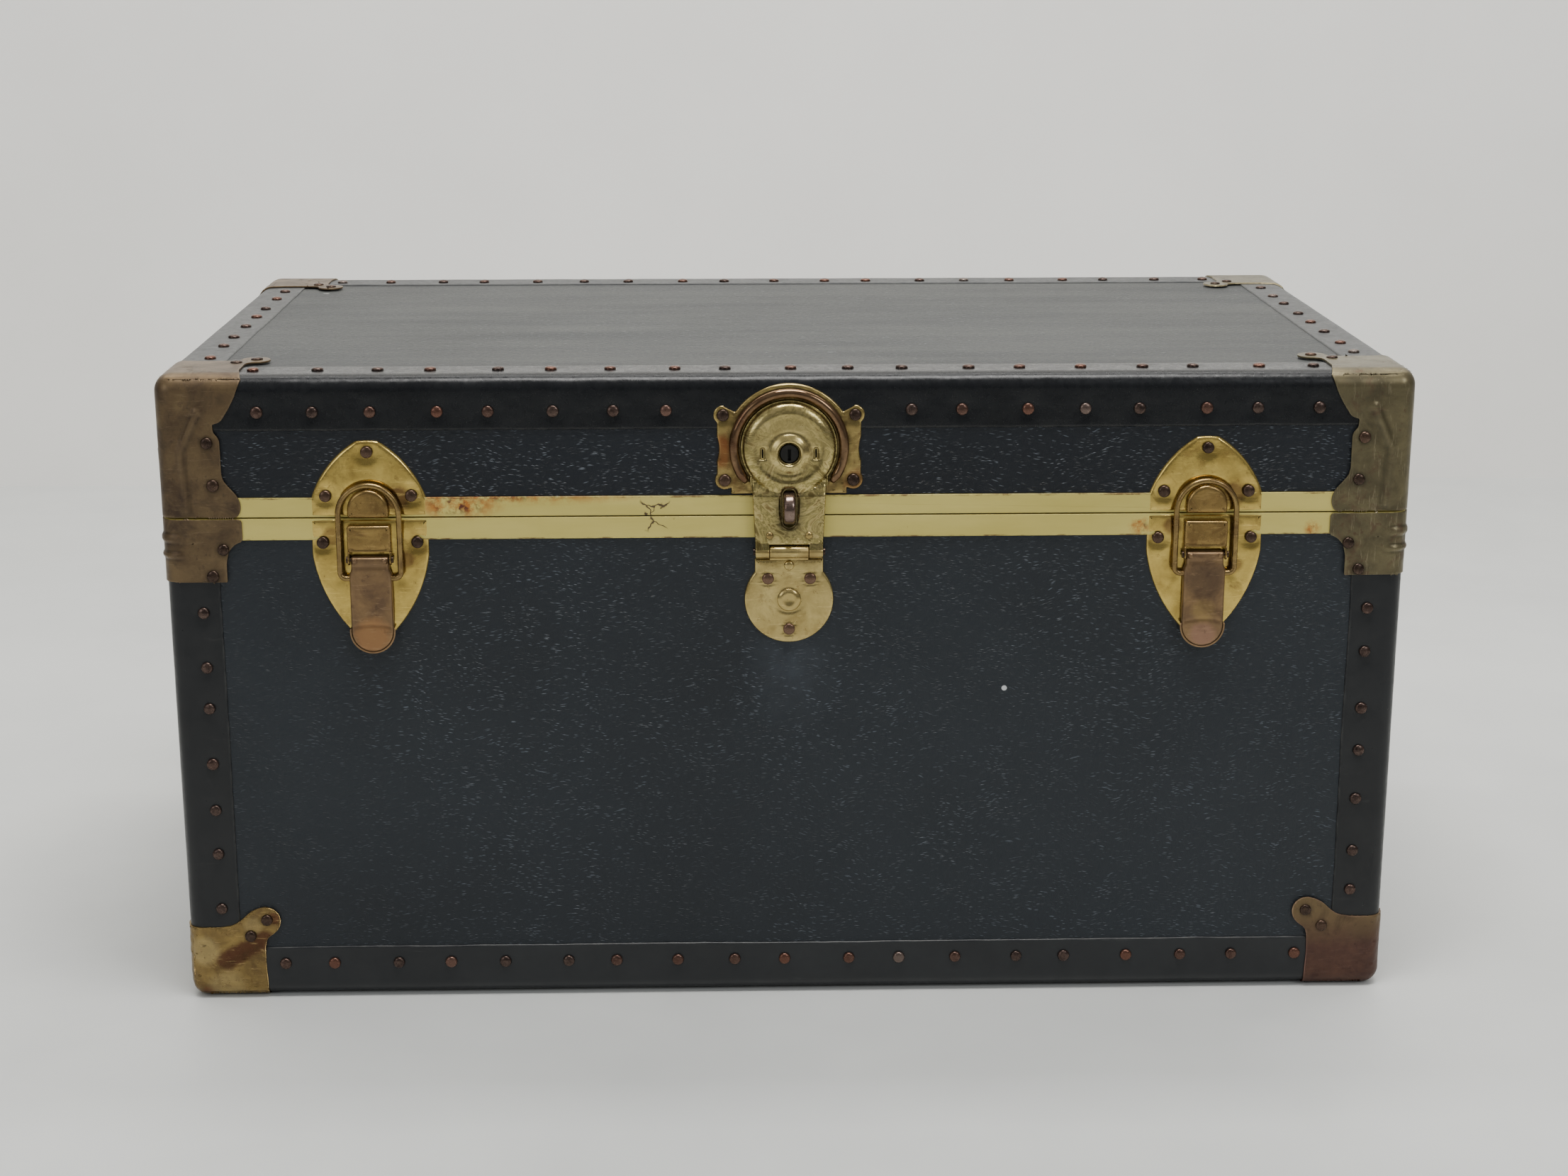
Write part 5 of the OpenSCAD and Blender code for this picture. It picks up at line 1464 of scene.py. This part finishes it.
def lock_plate_shade_grime(x, z):
    r = np.hypot(x, z - HEAD_Z)
    # Painted shade: dark under the guard ring's outer edge and in the gap between the ring and the hasp head,
    # with grime.
    return np.maximum(lock_shade_grime(x, z), 0.9 * ridge(r - 38.0, 1.2) + 0.9 * (r < 33.5))


plate("lock_plate", star(keeper_inside, (0, HEAD_Z), 70, 420), lock_at, PLATE, "keeper", "lid",
      ["lock_keeper_plate"], round_r=1.5, step=2.5, relief=lock_plate_relief, hollow=lock_plate_shade_grime)
tab_line = rounded_line([(-7.9, SEAM - 6.9), (7.9, SEAM - 6.9), (7.9, SEAM + 17), (-7.9, SEAM + 17)], 1.5)
plate("staple_tab", tab_line, lock_at, PLATE, "keeper", "lid", [], round_r=0.6, base=1.4, step=3)
ring_path = [on_face("front", x, z, PLATE + 0.1) for x, z in arc(0, HEAD_Z, 35.1, -39.5, 219.5, 90)]


def ring_shape(t):
    ends = min(1.0, 0.55 + 14 * min(t, 1 - t))
    return ring_section(3.2 * ends, 18)


sweep("guard_ring", ring_path, ring_shape, "ring", "lid", up=OUT)
hook = [(KEY_Z - 3, PLATE - 0.3), (KEY_Z + 3, PLATE - 0.3), (KEY_Z + 3, 3.5), (KEY_Z + 0.1, 3.6),
        (KEY_Z + 0.1, 5.5), (KEY_Z + 2.6, 5.55), (KEY_Z + 2.2, 5.95), (KEY_Z - 3, 5.95)]
# The prongs are painted near black, painted shade in the slits.
for k, s in enumerate((-1, 1)):
    block(f"lock_prong_{k}", hook, s * PRONG_X - 0.95, s * PRONG_X + 0.95, "front", 0, "painted_shade_black", "lid",
          bevel=0.25)

loop = [(STAPLE_Z - STAPLE_R, PLATE - 0.2), (STAPLE_Z - STAPLE_R, 5)]
loop += [(STAPLE_Z - STAPLE_R * math.cos(a), STAPLE_OUT + STAPLE_R * math.sin(a)) for a in np.linspace(0,
    math.pi, 25)]
loop += [(STAPLE_Z + STAPLE_R, 5), (STAPLE_Z + STAPLE_R, PLATE - 0.2)]
band = [(1.8 + 2 * math.cos(a), 2 * math.sin(a)) for a in np.linspace(-math.pi / 2, math.pi / 2, 9)]
band += [(-x, -y) for x, y in band]
staple_path = [on_face("front", 0, z, out) for z, out in loop]
sweep("staple", staple_path, band, "staple", "lid", ["padlock_staple"], up=(0, 0, -1))


def hasp_inside(x, z):
    half = 21.8 + 2.2 * (z - AXIS_Z - 4.9) / (HEAD_Z - 20 - AXIS_Z - 4.9)
    return math.hypot(x, z - HEAD_Z) < 29.85 or (AXIS_Z + 4.9 < z < HEAD_Z - 19 and abs(x) < half)


def hasp_relief(x, z, gap):
    """Height above the neck: the head's dome, the step of its middle disc, and the bands below it."""
    r = np.hypot(x, z - HEAD_Z)
    blend = ease(np.clip((z - (HEAD_Z - 31)) / 9, 0, 1))
    reach = np.clip((r - 22.2) / 7.6, 0, 1)
    dome = (HASP_OUT - NECK_OUT) - (HASP_OUT - HASP_IN - 1.0) * (1 - np.sqrt(1 - reach ** 2))
    step = -0.55 * edge_of(r - 21.6, 0.35)
    k = np.hypot(x, z - KEY_Z)
    hub = 0.5 * edge_of(k - 12.6, 0.25) - 0.25 * ridge(k - 13.9, 0.8)
    swell = -0.4 * ridge(r - 27, 2.6) * (z < HEAD_Z - 12) * (np.abs(x) < 20)
    neck = 0.12 * wave(x, z, 11, 5) - 0.1
    return blend * (dome + step + hub) + swell * blend + neck * (1 - 0.6 * blend)


def hasp_shade_grime(x, z):
    r = np.hypot(x, z - HEAD_Z)
    k = np.hypot(x, z - KEY_Z)
    # Painted shade and grime: darker at the disc's step, round the key collar, at the slits, round the studs
    # and at the staple slot.
    dark = 0.5 * ridge(r - 21.4, 0.9) + 0.7 * ridge(k - 13.8, 0.9)
    for s in (-1, 1):
        dark = dark + 0.9 * ridge(np.hypot((x - s * PRONG_X) * 1.6, z - KEY_Z), 3.4)
        dark = dark + 0.6 * ridge(np.hypot(x - s * STUD_X, z - SEAM + 12.5) - 2.4, 0.7)
    slot_gap = np.hypot(x, np.maximum(np.abs(z - STAPLE_Z + 0.2) - 8.3, 0)) - 4.9
    return dark + 0.8 * np.exp(-np.maximum(slot_gap, 0) / 1.0)


key_line = arc(0, KEY_Z, 6.3, 0, 360, 49)[:-1]
slot_line = arc(0, STAPLE_Z + 8.1, 4.9, 0, 180, 15) + arc(0, STAPLE_Z - 8.6, 4.9, 180, 360, 15)
slit = [(-1.25, -3.6), (1.25, -3.6), (1.25, 3.6), (-1.25, 3.6)]
slits = [rounded_line([(s * PRONG_X + x, KEY_Z + z) for x, z in slit], 1.0) for s in (-1, 1)]


def hasp_wall(x, z):
    """The pressing's outer walls go down to the lid, and the walls of its holes are as deep as the sheet."""
    k = np.hypot(x, z - KEY_Z)
    in_slit = (np.abs(np.abs(x) - PRONG_X) < 2.2) & (np.abs(z - KEY_Z) < 5)
    in_slot = (np.abs(x) < 6.5) & (np.abs(z - STAPLE_Z) < 15)
    return np.where((k < 8) | in_slit | in_slot, NECK_OUT - 0.9, HASP_IN + 0.2)


plate("hasp_pressing", star(hasp_inside, (0, HEAD_Z - 18), 75, 420), lock_at, NECK_OUT, "hasp", "hasp",
      ["hasp"], holes=[key_line, slot_line, *slits], round_r=1.5, base=hasp_wall, step=1.8,
      relief=hasp_relief, hollow=hasp_shade_grime, shell=0.85)
collar = [(6.4, HASP_OUT - 2.6), (6.9, HASP_OUT + 0.1), (7.6, HASP_OUT + 1.2), (8.3, HASP_OUT + 1.6),
          (9.3, HASP_OUT + 1.3), (10.8, HASP_OUT + 0.45), (12.4, HASP_OUT - 0.1), (12.9, HASP_OUT - 0.9)]
bore = [(6.4, HASP_OUT - 2.6), (5.8, HASP_OUT - 3.4), (5.8, HASP_OUT - 3.9)]
vs, fs = lathe(bore[::-1] + collar[1:], on_face("front", 0, KEY_Z, 0), OUT, 48)
outward(several("key_collar", [(vs, fs)], "hasp", "hasp"))
head = [(2.4, 0), (2.3, 0.35), (1.8, 0.75), (1.0, 0.98), (0, 1.05)]
small = [lathe(head, on_face("front", s * STUD_X, SEAM - 12.5, NECK_OUT - 0.15), OUT, 20) for s in (-1, 1)]
several("hasp_studs", small, "keeper", "hasp")
for k, s in enumerate((-1, 1)):
    bar(f"hasp_knuckle_{k}", "front", (s * 12.75, AXIS_Z, AXIS_OUT), (s * OUTER_KNUCKLE, AXIS_Z, AXIS_OUT),
        KNUCKLE_R - 0.05, "base", "hasp", "patina")
    link = [(AXIS_Z + 0.5, AXIS_OUT + 1), (AXIS_Z + 7.2, AXIS_OUT + 0.6), (AXIS_Z + 7.2, NECK_OUT - 0.25),
            (AXIS_Z + 4.5, NECK_OUT + 0.1), (AXIS_Z + 1, AXIS_OUT + 4.1)]
    block(f"hasp_link_{k}", link, s * 12.8, s * OUTER_KNUCKLE, "front", 0, "hasp", "hasp",
          bevel=0.5)


def disc_inside(x, z):
    return math.hypot(x, z - DISC_Z) < 28.85 or (abs(x) < 22.2 and DISC_Z < z < AXIS_Z - 5.3)


disc_spots = [(-13.6, DISC_Z + 14.2), (13.6, DISC_Z + 14.2), (0, DISC_Z - 19.6)]


def disc_relief(x, z, gap):
    r = np.hypot(x, z - DISC_Z)
    rise = -0.35 * ridge(r - 8.4, 1.1) - 0.45 * np.exp(-gap / 2.6)
    for sx, sz in disc_spots:
        rise -= 0.3 * ridge(np.hypot(x - sx, z - sz) - 4.6, 0.45)
    return rise


def disc_shade_grime(x, z):
    # Painted shade and grime round the boss and the rivet heads.
    dark = 0.35 * ridge(np.hypot(x, z - DISC_Z) - 8.0, 1.0)
    for sx, sz in disc_spots:
        dark = np.maximum(dark, ridge(np.hypot(x - sx, z - sz) - 4.3, 0.5))
    return dark


plate("lock_disc", star(disc_inside, (0, DISC_Z + 8), 60, 320), lock_at, PLATE, "base", "body",
      ["lock_base_plate"], round_r=1.5, step=1.8, relief=disc_relief, hollow=disc_shade_grime)
stud = [(3.3, 0), (3.2, 0.6), (2.5, 1.15), (1.3, 1.45), (0, 1.5)]
boss = [(7.9, -0.5), (7.5, 0.25), (6.7, 0.85), (5.5, 1.3), (4.4, 1.45), (3.4, 1.3), (2.3, 1.0), (1.1, 0.85),
        (0, 0.8)]
several("disc_boss", [lathe(boss, on_face("front", 0, DISC_Z, PLATE), OUT, 40)], "base", "body")
several("disc_stud", [lathe(stud, on_face("front", 0, AXIS_Z - 9.7, PLATE - 0.1), OUT, 22)], "base", "body")
bar("disc_knuckle", "front", (-MIDDLE_KNUCKLE, AXIS_Z, AXIS_OUT), (MIDDLE_KNUCKLE, AXIS_Z, AXIS_OUT),
    KNUCKLE_R - 0.05, "base", "body", "brass")
tongue = [(AXIS_Z - 6.4, 0.3), (AXIS_Z + 1, 0.9), (AXIS_Z + 1, 3.6), (AXIS_Z - 3.4, PLATE + 0.6),
          (AXIS_Z - 6.4, PLATE - 0.1)]
block("disc_tongue", tongue, -MIDDLE_KNUCKLE, MIDDLE_KNUCKLE, "front", 0, "base", "body", bevel=0.3)


# ---- Rear hinges ----

HINGE_X = (box_mm("hinge_pins")[1].x + -box_mm("hinge_pins")[0].x) / 2 - 25.3
HINGE_OUT = 5.2
HINGE_R = 3.2
MID = SEAM - 0.5


def leaf(name, cx, up, body, node, spots):
    """One leaf of a rear hinge, above or below the axis, with its knuckles."""
    notch = [(-8.3, -0.5), (-8.3, -4.4), (8.3, -4.4), (8.3, -0.5)] if up < 0 else []
    if up < 0:
        line = [(-24, -0.5), *notch, (24, -0.5)]
    else:
        line = [(-24, -4.4), (-8, -4.4), (-8, -0.5), (8, -0.5), (8, -4.4), (24, -4.4)]
    line = line + [(24, -31.3), (12, -31.5)] + arc(0, -31.5, 11.9, 0, -180, 15)[1:-1] + [(-12, -31.5),
        (-24, -31.3)]
    n = len(line)
    line = rounded_line(line, [0.4] * (n - 17) + [3, 1.5] + [0] * 13 + [1.5, 3])
    line = [(x, MID - up * z) for x, z in line]
    dip, shade_grime = dimpled(spots, 0.3, 2.4)
    at = flat_on("rear", cx)
    plate(name, line, at, PLATE, "hinge", body, [node], round_r=1.0, step=3,
          relief=lambda x, z, gap: dip(x, z) - 0.2 * np.exp(-gap / 2), hollow=shade_grime)
    spans = [(-8, 8)] if up > 0 else [(-24, -8.3), (8.3, 24)]
    curl = [(MID + up * 0.9, SKIN), (MID + up * 6, SKIN), (MID + up * 6, PLATE),
            (MID + up * 3.1, HINGE_OUT - 0.4), (MID + up * 0.9, HINGE_OUT)]
    for k, (a, b) in enumerate(spans):
        bar(f"{name}_knuckle_{k}", "rear", (cx + a, MID, HINGE_OUT), (cx + b, MID, HINGE_OUT), HINGE_R - 0.03,
            "hinge", body, "dull_brass", bevel=0.35)
        block(f"{name}_curl_{k}", curl, a + 0.05, b - 0.05, "rear", cx, "hinge", body,
              bevel=0.25)


for k, s in enumerate((-1, 1)):
    leaf(f"hinge_lower_{k}", s * HINGE_X, -1, "body", "hinge_lower_leaves",
         [(-16, BODY_TOP - 11), (16, BODY_TOP - 11), (0, BODY_TOP - 24)])
    leaf(f"hinge_upper_{k}", s * HINGE_X, 1, "lid", "hinge_upper_leaves",
         [(-16, SEAM + 11), (16, SEAM + 11), (0, SEAM + 24)])


# ---- End handles: stitched leather on riveted mounts ----

HANDLE_Z = 222.0
HANDLE_HALF = 63.0
HANDLE_OUT = 9.5
DROP = 40.0


def end_handle(side):
    node = f"handle_{side}"
    for k, s in enumerate((-1, 1)):
        cx = s * HANDLE_HALF
        spots = [(cx, HANDLE_Z - 17), (cx, HANDLE_Z + 17)]
        line = arc(cx, HANDLE_Z + 17, 8, 0, 180, 15) + arc(cx, HANDLE_Z - 17, 8, 180, 360, 15)
        dip, shade_grime = dimpled(spots, 0.3, 1.8)
        plate(f"handle_mount_{side}_{k}", line, flat_on(side), PLATE, "hinge", "body",
              ["handle_mounts"], round_r=1.0, step=2.5, relief=lambda x, z,
              gap: dip(x, z) - 0.15 * np.exp(-gap / 2), hollow=shade_grime)
        ear = arc(HANDLE_Z, HANDLE_OUT, 4.95, 0, 180, 13) + [(HANDLE_Z - 5.4, PLATE - 0.4),
            (HANDLE_Z + 5.4, PLATE - 0.4)]
        for m, (a, b) in enumerate(((-6.8, -5.0), (5.0, 6.8))):
            block(f"handle_ear_{side}_{k}_{m}", ear, a, b, side, cx, "hinge", "body",
                  bevel=0.35)
        bar(f"handle_pin_{side}_{k}", side, (cx - 7.3, HANDLE_Z, HANDLE_OUT),
            (cx + 7.3, HANDLE_Z, HANDLE_OUT), 2.45, "rivet", "body", "dull_brass")
        band = [(2.7, -4.5), (5.0, -4.5), (5.35, -4.1), (5.35, 4.1), (5.0, 4.5), (2.7, 4.5), (2.7, -4.5)]
        axis = on_face(side, 1, 0, 0) - on_face(side, 0, 0, 0)
        vs, fs = lathe(band, on_face(side, cx, HANDLE_Z, HANDLE_OUT), axis, 32)
        outward(several(f"handle_loop_{side}_{k}", [(vs, fs)], "leather", node))

    half = HANDLE_HALF
    path = [(-half, -2.5), (-half, -9), (-half, -17), (-half, -25)]
    path += arc(-half + 9, -31, 9, 180, 270, 9)
    path += [(x, -DROP) for x in np.linspace(-half + 15, half - 15, 19)]
    path += arc(half - 9, -31, 9, 270, 360, 9)
    path += [(half, -25), (half, -17), (half, -9), (half, -2.5)]
    last = len(path) - 1

    def section(t):
        k = min(t, 1 - t) * last
        g = ease(min(1.0, max(0.0, (k - 3) / 8)))
        out = []
        for i in range(28):
            a = 2 * math.pi * i / 28
            c, s = math.cos(a), math.sin(a)
            power = 0.42 + 0.58 * g
            wide = 4.5 + 3.1 * g
            deep = 3.3 + 4.3 * g
            out.append((wide * math.copysign(abs(c) ** power, c), deep * math.copysign(abs(s) ** power, s)))
        return out

    out_dir = on_face(side, 0, 0, 1) - on_face(side, 0, 0, 0)
    points = [on_face(side, x, HANDLE_Z + z, HANDLE_OUT) for x, z in path]
    grip = sweep(f"{node}_grip", points, section, "leather", node, [node], up=out_dir)
    modified(grip, ("SUBSURF", {"levels": 1, "render_levels": 1}))
    settle(grip, "leather", node, [node])
    stitches = []
    for x in np.arange(-42, 42.1, 4.2):
        for dz in (-2.6, 2.6):
            rise = HANDLE_OUT + math.sqrt(7.6 ** 2 - dz ** 2) - 0.1
            stitches.append(rod(on_face(side, x - 1.3, HANDLE_Z - DROP + dz, rise),
                                on_face(side, x + 1.3, HANDLE_Z - DROP + dz, rise), 0.42, 0.2, 8))
    for s in (-1, 1):
        for z in np.arange(-22, -7, 4.2):
            for dx in (-3.0, 3.0):
                stitches.append(rod(on_face(side, s * half + dx, HANDLE_Z + z - 1.3, HANDLE_OUT + 3.25),
                                    on_face(side, s * half + dx, HANDLE_Z + z + 1.3, HANDLE_OUT + 3.25), 0.4,
                                    0.2, 8))
    several(f"{node}_stitches", stitches, "thread", node)


end_handle("left")
end_handle("right")


# ---- Floor, backdrop, light and camera ----

def sheet_of(name, corners, material):
    mesh = bpy.data.meshes.new(name)
    mesh.from_pydata(corners, [], [(0, 1, 2, 3)])
    mesh.materials.append(material)
    placed(name, mesh)


def stage_material(name, low, high, rough, open_back=False):
    """Pale paint; with open_back the sheet is clear when it is seen from behind."""
    s = Shade(name)
    tone = s.ramp(s.noise(3, 4, 0.6), [(0.35, low), (0.65, high)])
    shine = s.ramp(s.noise(9, 3), [(0.3, rough), (0.7, rough + 0.1)])
    material = s.finish(tone, shine, 0.0, s.bump(s.noise(120, 3), 0.0004, 0.25))
    if open_back:
        clear = s.node("ShaderNodeBsdfTransparent")
        side = s.node("ShaderNodeMixShader")
        s.put(side.inputs[0], s.node("ShaderNodeNewGeometry").outputs["Backfacing"])
        s.put(side.inputs[1], s.bsdf.outputs["BSDF"])
        s.put(side.inputs[2], clear.outputs["BSDF"])
        s.put(s.tree.nodes["Material Output"].inputs["Surface"], side.outputs["Shader"])
    return material


WALL_Y = 1.36
WALL_TOP = 3.2
ROOM = 6
sheet_of("floor", [(-ROOM, -ROOM, 0), (ROOM, -ROOM, 0), (ROOM, WALL_Y, 0), (-ROOM, WALL_Y, 0)],
         stage_material("floor_pale", (0.56, 0.57, 0.555), (0.62, 0.63, 0.61), 0.45))
sheet_of("wall", [(-ROOM, WALL_Y, 0), (ROOM, WALL_Y, 0), (ROOM, WALL_Y, WALL_TOP), (-ROOM, WALL_Y, WALL_TOP)],
         stage_material("wall_pale", (0.86, 0.845, 0.81), (0.90, 0.885, 0.85), 0.6, open_back=True))


def area_light(name, at, look, size, power, colour):
    data = bpy.data.lights.new(name, "AREA")
    data.shape = "RECTANGLE"
    data.size, data.size_y = size
    data.energy = power
    data.color = colour
    obj = placed(name, data)
    obj.location = at
    obj.rotation_euler = (Vector(look) - Vector(at)).to_track_quat("-Z", "Y").to_euler()


area_light("ceiling", (0.1, -0.55, 2.5), (0, 0, 0.2), (1.3, 0.7), 56, (1.0, 0.985, 0.96))
area_light("wall_wash", (0, 0.7, 2.7), (0, 1.36, 0.9), (4.5, 0.5), 62, (1.0, 0.985, 0.95))
area_light("window", (1.7, -2.2, 1.9), (0, 0, 0.25), (0.8, 1.0), 20, (0.96, 0.98, 1.0))
area_light("fill", (-2.2, -2.4, 1.4), (0, 0, 0.2), (1.4, 1.4), 14, (0.97, 0.985, 1.0))
world = bpy.data.worlds.new("soft_room")
world.use_nodes = True
sky = world.node_tree.nodes["Background"]
sky.inputs["Strength"].default_value = 0.34
sky_place = world.node_tree.nodes.new("ShaderNodeTexCoord")
sky_height = world.node_tree.nodes.new("ShaderNodeSeparateXYZ")
sky_tone = world.node_tree.nodes.new("ShaderNodeValToRGB")
sky_tone.color_ramp.elements[0].position = 0.42
sky_tone.color_ramp.elements[0].color = (0.40, 0.41, 0.42, 1)
sky_tone.color_ramp.elements[1].position = 0.80
sky_tone.color_ramp.elements[1].color = (1.15, 1.16, 1.17, 1)
sky_half = world.node_tree.nodes.new("ShaderNodeMath")
sky_half.operation = "MULTIPLY_ADD"
sky_half.inputs[1].default_value = 0.5
sky_half.inputs[2].default_value = 0.5
for source, target in ((sky_place.outputs["Generated"], sky_height.inputs[0]),
                       (sky_height.outputs["Z"], sky_half.inputs[0]),
                       (sky_half.outputs[0], sky_tone.inputs["Fac"]),
                       (sky_tone.outputs["Color"], sky.inputs["Color"])):
    world.node_tree.links.new(source, target)
bpy.context.scene.world = world

camera = placed("camera", bpy.data.cameras.new("camera"))
camera.data.lens = 57.96
camera.data.sensor_width = 36
camera.data.clip_end = 50
camera.location = (-0.045, -1.789, 0.704)
pitch = math.radians(15.0)
yaw = math.radians(1.52)
forward = Vector((math.sin(yaw) * math.cos(pitch), math.cos(yaw) * math.cos(pitch), -math.sin(pitch)))
camera.rotation_euler = forward.to_track_quat("-Z", "Y").to_euler()
bpy.context.scene.camera = camera
